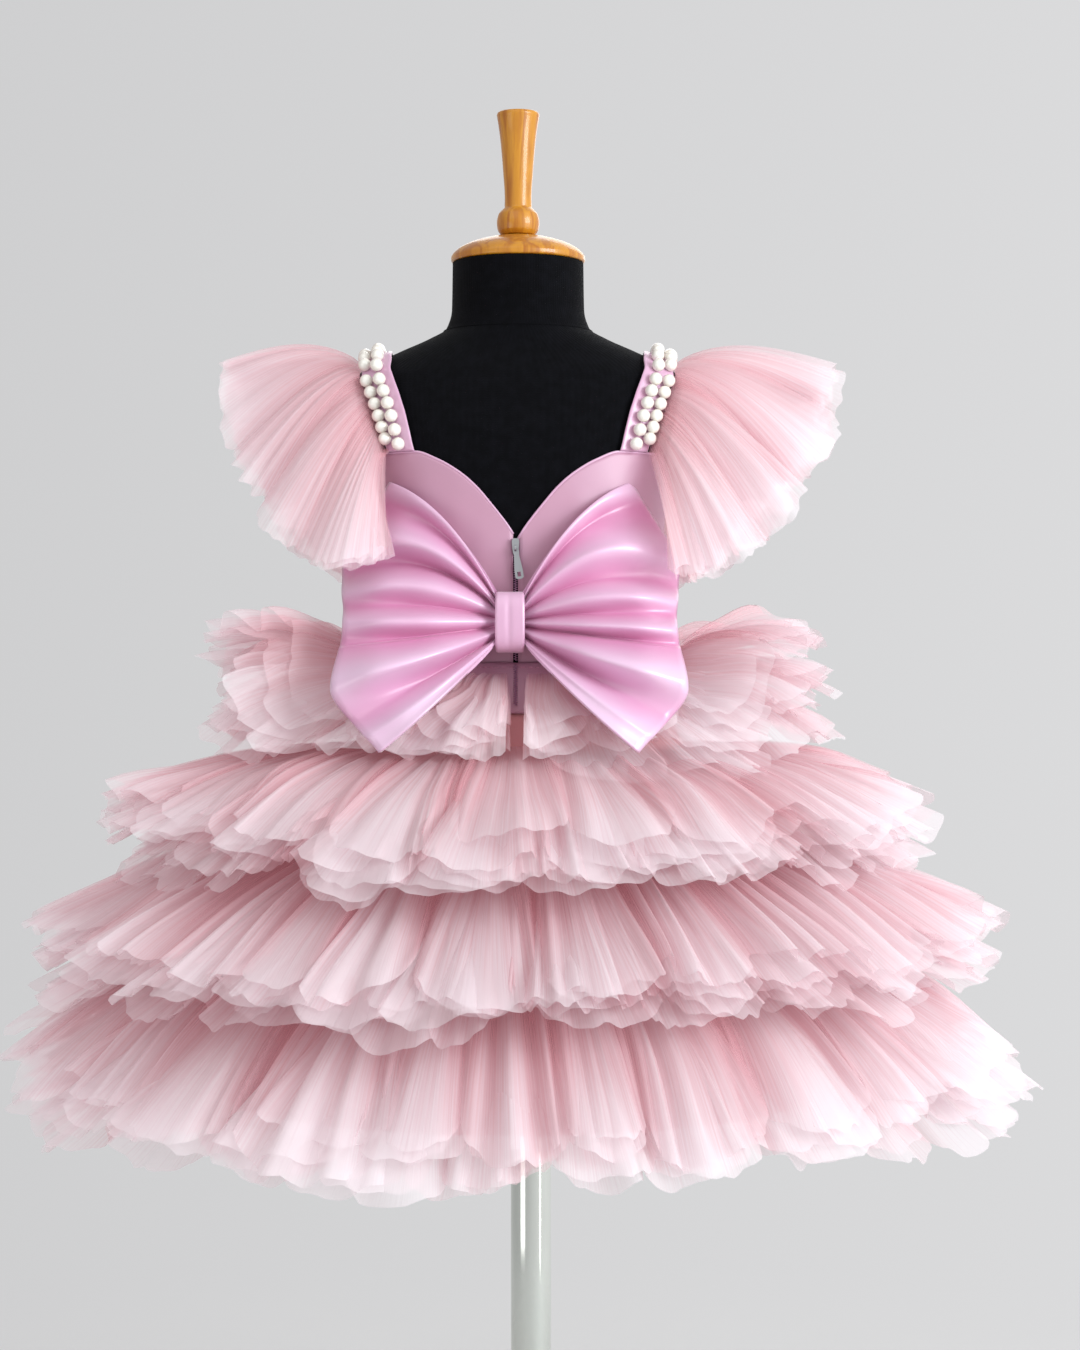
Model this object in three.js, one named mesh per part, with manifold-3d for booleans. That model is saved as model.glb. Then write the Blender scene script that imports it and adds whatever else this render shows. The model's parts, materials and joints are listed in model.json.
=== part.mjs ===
// A child's tiered tulle party dress, size one year, worn by a limbless dress form on a pole stand.
// Millimetres, +Z up. The origin is the centre of the stand's foot, on the floor.
// The dress's back, with its bow and zip, faces -Y, and +X is to the right of someone looking at the back.
import * as THREE from "three";
import Module from "manifold-3d";
import { mergeVertices } from "three/addons/utils/BufferGeometryUtils.js";

// Stand
const BASE_RADIUS = 150;
const BASE_HEIGHT = 16;
const BASE_EDGE = 4; // rounding of the disc's upper edge
const POLE_RADIUS = 12.5;
const SEAT_GAP = 0.3; // between two pieces that touch
const FORM_SHIFT_X = -8; // the form hangs a little to the left of its pole

// Dress form: half width, half depth and squareness of its section at each height
const TORSO_SECTIONS = [
  { z: 476, a: 66, b: 54, power: 2.1 },
  { z: 480, a: 78, b: 66, power: 2.1 },
  { z: 500, a: 87, b: 74, power: 2.2 },
  { z: 545, a: 89, b: 76, power: 2.3 },
  { z: 580, a: 86, b: 72, power: 2.4 },
  { z: 606, a: 84, b: 69, power: 2.4 },
  { z: 650, a: 85.5, b: 70, power: 2.5 },
  { z: 700, a: 89, b: 71, power: 2.6 },
  { z: 740, a: 93, b: 68, power: 2.6 },
  { z: 765, a: 99, b: 61, power: 2.5 },
  { z: 782, a: 101, b: 54, power: 2.4 },
  { z: 790, a: 92, b: 50, power: 2.3 },
  { z: 799, a: 74, b: 46, power: 2.2 },
  { z: 807, a: 56, b: 43.5, power: 2.1 },
  { z: 814, a: 44.5, b: 42, power: 2 },
  { z: 826, a: 41, b: 41, power: 2 },
  { z: 855, a: 40.5, b: 40.5, power: 2 },
];
const TORSO_COLUMNS = 36;
const CAP_RADIUS = 41.5;
const CAP_HEIGHT = 17;
const FINIAL_HEIGHT = 76;

// Bodice
const BODICE_GAP = 0.8; // between the form and the cloth
const SATIN_WALL = 1.5;
const WAIST_Z = 608;
const SEAM_GAP = 0.3;
const BODICE_ROWS = 6;
// Upper edge of the back against the distance from the centre back: two lobes that meet at the zip
const BACK_NECKLINE = [
  { x: 0, z: 680 },
  { x: 4, z: 686 },
  { x: 8, z: 691.5 },
  { x: 15, z: 700 },
  { x: 24, z: 711 },
  { x: 33, z: 720.5 },
  { x: 46, z: 727.5 },
  { x: 59, z: 733.5 },
  { x: 82, z: 733.5 },
  { x: 92, z: 718 },
];
const FRONT_NECKLINE = [
  { x: 0, z: 727 },
  { x: 30, z: 728 },
  { x: 59, z: 733.5 },
  { x: 82, z: 733.5 },
  { x: 92, z: 718 },
];

// Zip
const ZIP_X = -0.9;
const COIL_WIDTH = 2.3;
const COIL_DEPTH = 1.5;
const SLIDER_WIDTH = 4.4;
const SLIDER_HEIGHT = 9;
const SLIDER_DEPTH = 2.2;
const SLIDER_TOP_Z = 681;
const BRIDGE_WIDTH = 1;
const BRIDGE_RADIUS = 1.4; // of the middle of the half ring that the pull tab hangs on
const BRIDGE_BAR = 0.9;
const TAB_LENGTH = 19;
const TAB_THICKNESS = 1;
const TAB_TOP_WIDTH = 3.6;
const TAB_FOOT_WIDTH = 5;
const TAB_LEAN = THREE.MathUtils.degToRad(8);
const TAB_CLEARANCE = 1.05; // from the tab's axis to the slider's face

// Shoulder straps: centre line of the right one, from the back to the shoulder
const STRAP_WIDTH = 20;
const STRAP_WALL = 1.6;
const STRAP_GAP = 1.5; // between the form and a strap's inner face
const STRAP_PATH = [
  { out: 69.5, depth: 55.6, z: 734.1 },
  { out: 74, depth: 50.5, z: 752 },
  { out: 80, depth: 40.5, z: 772 },
  { out: 85.5, depth: 23, z: 791 },
  { out: 87.5, depth: 0, z: 797.8 },
];
const STRAP_STEPS = 44; // an even number, so that both rows of pearls are whole
const PEARL_HEIGHT = 6;
const PEARL_ROW_INNER = -2.6; // from the middle of the strap, outwards positive
const PEARL_ROW_OUTER = 6;

// Flutter sleeves: where the gathered fan's rim lies, from the back end to the shoulder
const SLEEVE_RIM_LEFT = [
  { share: 0, out: 75, depth: 111, z: 668 },
  { share: 0.1, out: 112, depth: 104, z: 662 },
  { share: 0.2, out: 141, depth: 84, z: 680 },
  { share: 0.3, out: 163, depth: 56, z: 703 },
  { share: 0.4, out: 182, depth: 28, z: 742 },
  { share: 0.5, out: 189, depth: 0, z: 796 },
];
const SLEEVE_RIM_RIGHT = [
  { share: 0, out: 94, depth: 111, z: 655 },
  { share: 0.1, out: 124, depth: 104, z: 660 },
  { share: 0.2, out: 150, depth: 84, z: 682 },
  { share: 0.3, out: 176, depth: 56, z: 712 },
  { share: 0.4, out: 194, depth: 28, z: 745 },
  { share: 0.5, out: 201, depth: 0, z: 787 },
];
const SLEEVE_STRIPS = 3;
const SLEEVE_PUFF = 12;
// Each sleeve has two gathered layers: how many waves, how high at the rim, how far below and how long
const SLEEVE_LAYERS = [
  { layer: "upper", waves: 10, swing: 6.5, sunk: 0, sunkAtSeam: 0, length: 1 },
  { layer: "under", waves: 7, swing: 4, sunk: 14.5, sunkAtSeam: 3.1, length: 0.92 },
];
const SLEEVE_SEAM = 0.6; // from the strap's edge to the gathers

// Skirt
const TULLE_WALL = 1.8; // measured along the layer's own normal
const SKIRT_SECTIONS = [
  { z: 343, a: 185, b: 172, power: 2 },
  { z: 450, a: 145, b: 130, power: 2 },
  { z: 556, a: 104, b: 89.5, power: 2.2 },
  { z: 598, a: 90, b: 76, power: 2.4 },
  { z: 607.4, a: 87.5, b: 73, power: 2.4 },
];
const SKIRT_COLUMNS = 36;
const RUFFLE_DEPTH_SHARE = 0.93; // half depth over half width at the rims
const RUFFLE_SEAT = 0.45; // from the underskirt to a ruffle's seam, between their facets
const BACK_DROOP = 12; // how much lower a rim hangs at the back and front than at the sides
// Each ruffle layer: radius and height of its seam, middle and rim to the side, its waves and their height
const RUFFLES = [
  { name: "tier_1_upper", seamZ: 601, midR: 140, midZ: 630, rimR: 190, rimZ: 631, waves: 12, swing: 8, strips: 2 },
  { name: "tier_1_lower", seamZ: 594, midR: 142, midZ: 592, rimR: 196, rimZ: 565, waves: 16, swing: 9, strips: 3 },
  { name: "tier_2_upper", seamZ: 558, midR: 185, midZ: 543, rimR: 257, rimZ: 528, waves: 13, swing: 11, strips: 2 },
  { name: "tier_2_lower", seamZ: 551, midR: 175, midZ: 524, rimR: 250, rimZ: 489, waves: 18, swing: 11, strips: 3 },
  { name: "tier_3_upper", seamZ: 511, midR: 215, midZ: 480, rimR: 300, rimZ: 449, waves: 14, swing: 12, strips: 2 },
  { name: "tier_3_lower", seamZ: 503, midR: 200, midZ: 459, rimR: 288, rimZ: 417, waves: 20, swing: 12, strips: 3 },
  { name: "tier_4_upper", seamZ: 455, midR: 238, midZ: 414, rimR: 313, rimZ: 362, waves: 15, swing: 13, strips: 2 },
  { name: "tier_4_lower", seamZ: 447, midR: 225, midZ: 386, rimR: 297, rimZ: 341, waves: 22, swing: 13, strips: 3 },
];
// The first tier lies flat under the bow: half depth and height at the centre back
const PRESSED = {
  tier_1_upper: { midB: 108, midZ: 592, rimB: 131, rimZ: 575 },
  tier_1_lower: { midB: 104, midZ: 578, rimB: 127, rimZ: 559 },
};
const PRESSED_WITHIN = THREE.MathUtils.degToRad(40);
const PRESSED_FADES_BY = THREE.MathUtils.degToRad(62);
const PRESSED_SWING = 0.4;
const PARTING_AT_SEAM = 3.4; // half width of the first tier's parting over the zip
const PARTING_AT_RIM = 11;

// Bow: its folds run from the knot to the rim, from the upper edge (0) to the lower edge (1)
const BOW_WALL = 2.8;
const BOW_FOLDS = 5;
const BOW_COLUMNS = 24;
const BOW_STRIPS = 6;
const BOW_ROOT_OUT = 4;
const BOW_ROOT_DEPTH = 85;
const BOW_FANS = [
  { edge: 0, rootZ: 638, midOut: 36, midZ: 689, midDepth: 80, rimOut: 73, rimZ: 716, rimDepth: 54 },
  { edge: 0.22, rootZ: 635.5, midOut: 52, midZ: 667, midDepth: 87, rimOut: 101, rimZ: 664, rimDepth: 62 },
  { edge: 0.5, rootZ: 631, midOut: 54, midZ: 632, midDepth: 108, rimOut: 98, rimZ: 629, rimDepth: 98 },
  { edge: 0.78, rootZ: 626.5, midOut: 54, midZ: 605, midDepth: 120, rimOut: 103, rimZ: 592, rimDepth: 121 },
  { edge: 1, rootZ: 623.5, midOut: 38, midZ: 588, midDepth: 131, rimOut: 74, rimZ: 556, rimDepth: 144 },
];
const KNOT_X = -4;
const KNOT_WIDTH = 17;
const KNOT_TOP_Z = 649;
const KNOT_FOOT_Z = 613;
const KNOT_WALL = 1.6;
const KNOT_OUT_DEPTH = 99.5;
const KNOT_COLUMNS = 20;

// Colours and finishes
const FINISH = {
  satin: { color: "#de9ec8", roughness: 0.35, metalness: 0 },
  bodice: { color: "#cd96b4", roughness: 0.55, metalness: 0 },
  tulle: { color: "#e8b8b8", roughness: 0.85, metalness: 0 },
  lining: { color: "#cb8787", roughness: 0.8, metalness: 0 },
  form: { color: "#0c0c12", roughness: 0.9, metalness: 0 },
  wood: { color: "#c88c3c", roughness: 0.25, metalness: 0 },
  chrome: { color: "#c8ccce", roughness: 0.12, metalness: 1 },
  steel: { color: "#b4b6b8", roughness: 0.3, metalness: 1 },
  coil: { color: "#bd93b0", roughness: 0.5, metalness: 0 },
};

const { lerp, smoothstep } = THREE.MathUtils;
const vector = (x, y, z) => new THREE.Vector3(x, y, z);
const steps = (count) => Array.from({ length: count }, (_, i) => i);

// A number from 0 to 1 that looks random but is always the same for one seed.
function unevenness(seed) {
  const wave = Math.sin(seed * 12.9898 + 4.137) * 43758.5453;
  return wave - Math.floor(wave);
}

// The row of a table at one value of a column, with the other columns found between its neighbours.
function rowAt(table, column, value) {
  const order = Math.sign(table[1][column] - table[0][column]);
  let next = table.findIndex((row) => (row[column] - value) * order >= 0);
  if (next < 0) next = table.length - 1;
  if (next === 0) next = 1;
  const [low, high] = [table[next - 1], table[next]];
  const share = THREE.MathUtils.clamp((value - low[column]) / (high[column] - low[column]), 0, 1);
  const found = {};
  for (const key of Object.keys(low)) found[key] = lerp(low[key], high[key], share);
  return found;
}

// A point of a squarish oval, counted from the back centre towards +X.
function oval(angle, a, b, power) {
  const round = (value) => Math.sign(value) * Math.abs(value) ** (2 / power);
  return [a * round(Math.sin(angle)), -b * round(Math.cos(angle))];
}

// The point halfway along a smooth bend that starts at one point, passes the middle and ends at the third.
function bend(start, middle, end, t) {
  const control = 2 * middle - (start + end) / 2;
  return (1 - t) ** 2 * start + 2 * t * (1 - t) * control + t ** 2 * end;
}

// A geometry whose faces point out, from points and the corners of its triangles.
function facingOut(points, faces) {
  let volume = 0;
  for (let i = 0; i < faces.length; i += 3) {
    const [p, q, r] = [points[faces[i]], points[faces[i + 1]], points[faces[i + 2]]];
    volume += p.dot(q.clone().cross(r));
  }
  const turned = volume < 0 ? faces.reverse() : faces;
  const geometry = new THREE.BufferGeometry();
  const numbers = points.flatMap((point) => point.toArray());
  geometry.setAttribute("position", new THREE.Float32BufferAttribute(numbers, 3));
  geometry.setIndex(turned);
  geometry.computeVertexNormals();
  return geometry;
}

// A cloth wall between two grids of points, closed all round or ending at two sides.
function wallGeometry(outer, inner, closed) {
  const rows = outer.length;
  const columns = outer[0].length;
  const spans = closed ? columns : columns - 1;
  const id = (side, row, column) => (side * rows + row) * columns + (column % columns);
  const faces = [];
  const quad = (p, q, r, s) => faces.push(p, q, r, p, r, s);
  for (let column = 0; column < spans; column++) {
    const next = column + 1;
    for (let row = 0; row + 1 < rows; row++) {
      quad(id(0, row, column), id(0, row, next), id(0, row + 1, next), id(0, row + 1, column));
      quad(id(1, row, column), id(1, row + 1, column), id(1, row + 1, next), id(1, row, next));
    }
    quad(id(0, 0, column), id(1, 0, column), id(1, 0, next), id(0, 0, next));
    const top = rows - 1;
    quad(id(0, top, column), id(0, top, next), id(1, top, next), id(1, top, column));
  }
  for (let row = 0; row + 1 < rows && !closed; row++) {
    const last = columns - 1;
    quad(id(0, row, 0), id(0, row + 1, 0), id(1, row + 1, 0), id(1, row, 0));
    quad(id(0, row, last), id(1, row, last), id(1, row + 1, last), id(0, row + 1, last));
  }
  return facingOut([...outer.flat(), ...inner.flat()], faces);
}

// A solid through rings of as many points each, with a fan of faces over its first and last ring.
function loftGeometry(rings) {
  const columns = rings[0].length;
  const points = rings.flat();
  const faces = [];
  for (let row = 0; row + 1 < rings.length; row++) {
    for (let column = 0; column < columns; column++) {
      const [here, next] = [row * columns + column, row * columns + ((column + 1) % columns)];
      faces.push(here, next, next + columns, here, next + columns, here + columns);
    }
  }
  for (const [ring, first] of [[rings[0], 0], [rings.at(-1), (rings.length - 1) * columns]]) {
    const middle = ring.reduce((sum, point) => sum.add(point), vector(0, 0, 0)).divideScalar(columns);
    points.push(middle);
    for (let column = 0; column < columns; column++) {
      const pair = [first + column, first + ((column + 1) % columns)];
      if (first === 0) pair.reverse();
      faces.push(points.length - 1, ...pair);
    }
  }
  return facingOut(points, faces);
}

// A turned solid about the vertical axis, from a profile of [radius, height] that starts and ends on the axis.
function turnedGeometry(profile, segments) {
  const points = profile.map(([radius, height]) => new THREE.Vector2(radius, height));
  return new THREE.LatheGeometry(points, segments).rotateX(Math.PI / 2);
}

const wasm = await Module();
wasm.setup();

// A closed geometry as a solid that can be joined.
function solidOf(geometry) {
  const bare = geometry.clone();
  bare.deleteAttribute("normal");
  bare.deleteAttribute("uv");
  const merged = mergeVertices(bare, 1e-4);
  return new wasm.Manifold(
    new wasm.Mesh({
      numProp: 3,
      vertProperties: new Float32Array(merged.attributes.position.array),
      triVerts: new Uint32Array(merged.index.array),
    }),
  );
}

// Two closed geometries joined into one.
function joined(first, second) {
  const mesh = solidOf(first).add(solidOf(second)).getMesh();
  const geometry = new THREE.BufferGeometry();
  geometry.setAttribute("position", new THREE.BufferAttribute(mesh.vertProperties, 3));
  geometry.setIndex(new THREE.BufferAttribute(mesh.triVerts, 1));
  geometry.computeVertexNormals();
  return geometry;
}

const group = new THREE.Group();
const dressed = new THREE.Group();
dressed.position.x = FORM_SHIFT_X;
group.add(dressed);

function addMesh(parent, name, geometry, finish) {
  const material = new THREE.MeshStandardMaterial({ ...FINISH[finish], side: THREE.DoubleSide });
  const mesh = new THREE.Mesh(geometry, material);
  mesh.name = name;
  parent.add(mesh);
  return mesh;
}

// The stand is a heavy disc and a pole that ends under the form.
function addStand() {
  const edge = steps(4).map((i) => {
    const turn = ((i + 1) / 4) * (Math.PI / 2);
    return [BASE_RADIUS - BASE_EDGE * (1 - Math.cos(turn)), BASE_HEIGHT - BASE_EDGE * (1 - Math.sin(turn))];
  });
  const disc = [[0, 0], [BASE_RADIUS, 0], [BASE_RADIUS, BASE_HEIGHT - BASE_EDGE], ...edge, [0, BASE_HEIGHT]];
  addMesh(group, "stand_base", turnedGeometry(disc, 32), "chrome");
  const foot = BASE_HEIGHT + SEAT_GAP;
  const top = TORSO_SECTIONS[0].z - SEAT_GAP;
  const pole = new THREE.CylinderGeometry(POLE_RADIUS, POLE_RADIUS, top - foot, 20).rotateX(Math.PI / 2);
  addMesh(group, "stand_pole", pole, "chrome").position.z = (foot + top) / 2;
}

// The form's body, its turned neck cap and the finial that it is lifted by.
function addForm() {
  const rings = TORSO_SECTIONS.map(({ z, a, b, power }) =>
    steps(TORSO_COLUMNS).map((i) => {
      const [x, y] = oval((i / TORSO_COLUMNS) * 2 * Math.PI, a, b, power);
      return vector(x, y, z);
    }),
  );
  addMesh(dressed, "form_torso", loftGeometry(rings), "form");
  const neckZ = TORSO_SECTIONS.at(-1).z;
  const cap = [[0, 0], [0.97, 0], [1, 0.1], [1, 0.27], [0.95, 0.48], [0.8, 0.68], [0.55, 0.86], [0.3, 0.97], [0, 1]];
  const capProfile = cap.map(([r, h]) => [r * CAP_RADIUS, neckZ + SEAT_GAP + h * CAP_HEIGHT]);
  addMesh(dressed, "neck_cap", turnedGeometry(capProfile, 24), "wood");
  const finialZ = neckZ + CAP_HEIGHT + 2 * SEAT_GAP;
  const finial = [
    [0, 0], [10.5, 0], [12.6, 0.04], [13.2, 0.1], [12.4, 0.165], [9.8, 0.205], [8.3, 0.225],
    [8.3, 0.3], [9.2, 0.5], [11.2, 0.8], [13.2, 0.975], [12.7, 1], [0, 1],
  ];
  const finialProfile = finial.map(([radius, h]) => [radius, finialZ + h * FINIAL_HEIGHT]);
  addMesh(dressed, "finial", turnedGeometry(finialProfile, 20), "wood");
}

// The angle at which the cloth's section at a height reaches a distance from the centre.
function angleOf(distance, z) {
  const section = rowAt(TORSO_SECTIONS, "z", z);
  const share = Math.abs(distance) / (section.a + BODICE_GAP);
  return Math.sign(distance) * Math.asin(share ** (section.power / 2));
}

// One panel from the waist to its upper edge. Its first and last columns keep their place at each height.
function addBodicePanel(name, startAt, endAt, columns, neckline) {
  const pointAt = (across, up, out) => {
    const angleFor = (z) => lerp(startAt(z), endAt(z), across);
    const chest = rowAt(TORSO_SECTIONS, "z", 715);
    const [reach] = oval(angleFor(chest.z), chest.a, chest.b, chest.power);
    const z = lerp(WAIST_Z + SEAM_GAP, rowAt(neckline, "x", Math.abs(reach)).z, up);
    const section = rowAt(TORSO_SECTIONS, "z", z);
    const [x, y] = oval(angleFor(z), section.a + out, section.b + out, section.power);
    return vector(x, y, z);
  };
  const grid = (out) =>
    steps(BODICE_ROWS + 1).map((row) =>
      steps(columns + 1).map((column) => pointAt(column / columns, row / BODICE_ROWS, out)),
    );
  addMesh(dressed, name, wallGeometry(grid(BODICE_GAP + SATIN_WALL), grid(BODICE_GAP), false), "bodice");
}

// The front and the two back halves meet at the sides, and the halves meet along the zip.
function addBodice() {
  const seam = SEAM_GAP / 2 / TORSO_SECTIONS[5].a;
  const [side, half] = [Math.PI / 2, COIL_WIDTH / 2 + SEAM_GAP];
  const fixed = (angle) => () => angle;
  const alongZip = (edge) => (z) => angleOf(ZIP_X + edge * half, z);
  addBodicePanel("bodice_front", fixed(side + seam), fixed(2 * Math.PI - side - seam), 18, FRONT_NECKLINE);
  addBodicePanel("bodice_back_right", alongZip(1), fixed(side - seam), 11, BACK_NECKLINE);
  addBodicePanel("bodice_back_left", alongZip(-1), fixed(-side + seam), 11, BACK_NECKLINE);
}

// How far back the bodice's outer face lies at the zip, at a height.
function zipDepth(z) {
  return rowAt(TORSO_SECTIONS, "z", z).b + BODICE_GAP + SATIN_WALL;
}

// A narrow strip of zip coil down the back, from one height to another.
function coilGeometry(topZ, footZ, depthAt) {
  const rings = steps(6).map((i) => {
    const z = lerp(footZ, topZ, i / 5);
    const [near, far] = [-depthAt(z), -depthAt(z) + COIL_DEPTH];
    const half = COIL_WIDTH / 2;
    return [
      vector(ZIP_X - half, far, z),
      vector(ZIP_X - half, near + 0.3, z),
      vector(ZIP_X, near, z),
      vector(ZIP_X + half, near + 0.3, z),
      vector(ZIP_X + half, far, z),
    ];
  });
  return loftGeometry(rings);
}

// The slider's body with the half ring that carries the tab, about the tab's axis.
function sliderGeometry(bodyZ) {
  const outline = new THREE.Shape();
  const [half, rise] = [SLIDER_WIDTH / 2, SLIDER_HEIGHT / 2];
  outline.moveTo(-half * 0.62, -rise);
  outline.lineTo(half * 0.62, -rise);
  outline.quadraticCurveTo(half * 0.9, -rise * 0.4, half, rise * 0.5);
  outline.quadraticCurveTo(half, rise, half * 0.5, rise);
  outline.lineTo(-half * 0.5, rise);
  outline.quadraticCurveTo(-half, rise, -half, rise * 0.5);
  outline.quadraticCurveTo(-half * 0.9, -rise * 0.4, -half * 0.62, -rise);
  const body = new THREE.ExtrudeGeometry(outline, { depth: SLIDER_DEPTH, bevelEnabled: false, curveSegments: 4 });
  body.rotateX(Math.PI / 2).translate(0, TAB_CLEARANCE + SLIDER_DEPTH, bodyZ);

  const bridge = new THREE.Shape();
  const [big, small] = [BRIDGE_RADIUS + BRIDGE_BAR / 2, BRIDGE_RADIUS - BRIDGE_BAR / 2];
  const root = TAB_CLEARANCE + SLIDER_DEPTH / 2;
  bridge.moveTo(root, -big);
  bridge.lineTo(root, -small);
  bridge.lineTo(0, -small);
  bridge.absarc(0, 0, small, -Math.PI / 2, -1.5 * Math.PI, true);
  bridge.lineTo(root, small);
  bridge.lineTo(root, big);
  bridge.lineTo(0, big);
  bridge.absarc(0, 0, big, Math.PI / 2, 1.5 * Math.PI, false);
  bridge.closePath();
  const arch = new THREE.ExtrudeGeometry(bridge, { depth: BRIDGE_WIDTH, bevelEnabled: false, curveSegments: 8 });
  arch.translate(0, 0, -BRIDGE_WIDTH / 2).rotateY(Math.PI / 2).rotateX(Math.PI / 2);
  return joined(body, arch);
}

// The pull tab: a flat tapered plate with an eye round the bridge and a slot near its foot.
function tabGeometry() {
  const outline = new THREE.Shape();
  const [top, foot] = [TAB_TOP_WIDTH / 2, TAB_FOOT_WIDTH / 2];
  const end = -TAB_LENGTH + 0.45;
  outline.moveTo(-top + 0.5, 0.45);
  outline.lineTo(top - 0.5, 0.45);
  outline.lineTo(top, 0);
  outline.lineTo(top, -2.6);
  outline.lineTo(top - 0.3, -4.4);
  outline.lineTo(foot, end + 5);
  outline.lineTo(foot, end + 1);
  outline.lineTo(foot - 1, end);
  outline.lineTo(-foot + 1, end);
  outline.lineTo(-foot, end + 1);
  outline.lineTo(-foot, end + 5);
  outline.lineTo(-top + 0.3, -4.4);
  outline.lineTo(-top, -2.6);
  outline.lineTo(-top, 0);
  const hole = (halfWidth, upper, lower) => {
    const path = new THREE.Path();
    path.moveTo(-halfWidth, upper);
    path.lineTo(-halfWidth, lower);
    path.lineTo(halfWidth, lower);
    path.lineTo(halfWidth, upper);
    path.closePath();
    return path;
  };
  outline.holes.push(hole(1.1, -0.45, -2.35), hole(1, end + 4.2, end + 1.5));
  const plate = new THREE.ExtrudeGeometry(outline, { depth: TAB_THICKNESS, bevelEnabled: false });
  return plate.translate(0, 0, -TAB_THICKNESS / 2).rotateX(Math.PI / 2);
}

function addZip() {
  const sliderZ = SLIDER_TOP_Z - SLIDER_HEIGHT / 2;
  const axisZ = sliderZ - 1.2;
  const coilTop = SLIDER_TOP_Z - 2;
  const coil = coilGeometry(coilTop, WAIST_Z + SEAM_GAP, zipDepth);
  addMesh(dressed, "zip_coil", coil, "coil");
  const skirtDepth = (z) => rowAt(SKIRT_SECTIONS, "z", z).b + SEAM_GAP + COIL_DEPTH;
  const placket = coilGeometry(WAIST_Z - 1, 582, skirtDepth);
  addMesh(dressed, "zip_coil_foot", placket, "coil");
  const axisY = -zipDepth(SLIDER_TOP_Z) - SEAM_GAP - SLIDER_DEPTH - TAB_CLEARANCE;
  const slider = addMesh(dressed, "zip_slider", sliderGeometry(sliderZ - axisZ), "steel");
  slider.position.set(ZIP_X, axisY, axisZ);
  const tab = addMesh(dressed, "zip_pull_tab", tabGeometry(), "steel");
  tab.position.copy(slider.position);
  tab.rotation.y = -TAB_LEAN;
}

// A smooth curve over the shoulder from half of its points, mirrored to the front.
function overShoulder(points, side) {
  const back = points.map(({ out, depth, z }) => vector(side * out, -depth, z));
  const front = points.slice(0, -1).reverse().map(({ out, depth, z }) => vector(side * out, depth, z));
  return new THREE.CatmullRomCurve3([...back, ...front], false, "centripetal");
}

// How far a point lies outside the form, and the way straight out from it.
function formClearance(point) {
  const value = ({ x, y, z }) => {
    const { a, b, power } = rowAt(TORSO_SECTIONS, "z", z);
    return (Math.abs(x / a) ** power + Math.abs(y / b) ** power) ** (1 / power) - 1;
  };
  const [reach, way] = [3, vector(0, 0, 0)];
  for (const axis of ["x", "y", "z"]) {
    const [ahead, behind] = [point.clone(), point.clone()];
    ahead[axis] += reach;
    behind[axis] -= reach;
    way[axis] = (value(ahead) - value(behind)) / (2 * reach);
  }
  const distance = value(point) / way.length();
  return { distance, way: way.normalize() };
}

// The strap's frame at a share of its length: middle, way across (outwards) and way up from the form.
function strapFrame(side, share) {
  const curve = overShoulder(STRAP_PATH, side);
  const point = curve.getPointAt(share);
  const along = curve.getTangentAt(share);
  for (let round = 0; round < 4; round++) {
    const { distance, way } = formClearance(point);
    point.addScaledVector(way, STRAP_GAP + STRAP_WALL / 2 - distance);
  }
  const { way: up } = formClearance(point);
  const square = up.clone().cross(along).multiplyScalar(-side).normalize();
  const level = vector(-up.y, up.x, 0).multiplyScalar(Math.sign(-up.y) * side).normalize();
  const fromEnd = Math.min(share, 1 - share);
  const across = level.lerp(square, smoothstep(fromEnd, 0, 0.14)).normalize();
  return { point, across, up };
}

// One strap, with two rows of pearls raised from its outer face.
function addStrap(name, side) {
  const half = STRAP_WIDTH / 2;
  const valley = (PEARL_ROW_INNER + PEARL_ROW_OUTER) / 2;
  const stations = [-half, PEARL_ROW_INNER - 4.2, PEARL_ROW_INNER, valley, PEARL_ROW_OUTER, half];
  const rings = steps(STRAP_STEPS + 1).map((i) => {
    const { point, across, up } = strapFrame(side, i / STRAP_STEPS);
    const inside = i > 0 && i < STRAP_STEPS;
    const place = (out, height) => point.clone().addScaledVector(across, out).addScaledVector(up, height);
    const outer = stations.map((out) => {
      const raised = (out === PEARL_ROW_INNER && i % 2 === 1) || (out === PEARL_ROW_OUTER && i % 2 === 0);
      return place(out, STRAP_WALL / 2 + (inside && raised ? PEARL_HEIGHT : 0));
    });
    return [...outer, place(half, -STRAP_WALL / 2), place(-half, -STRAP_WALL / 2)];
  });
  addMesh(dressed, name, loftGeometry(rings), "satin");
}

// A fluttering height for one column of a gathered edge: four columns make one wave.
function flutter(column, seed) {
  const wave = Math.floor(column / 4) + seed * 37;
  const height = lerp(0.62, 1, unevenness(wave));
  const soft = lerp(0.25, 0.7, unevenness(wave + 11.3));
  return [1, soft, -1, -soft][column % 4] * height;
}

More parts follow.
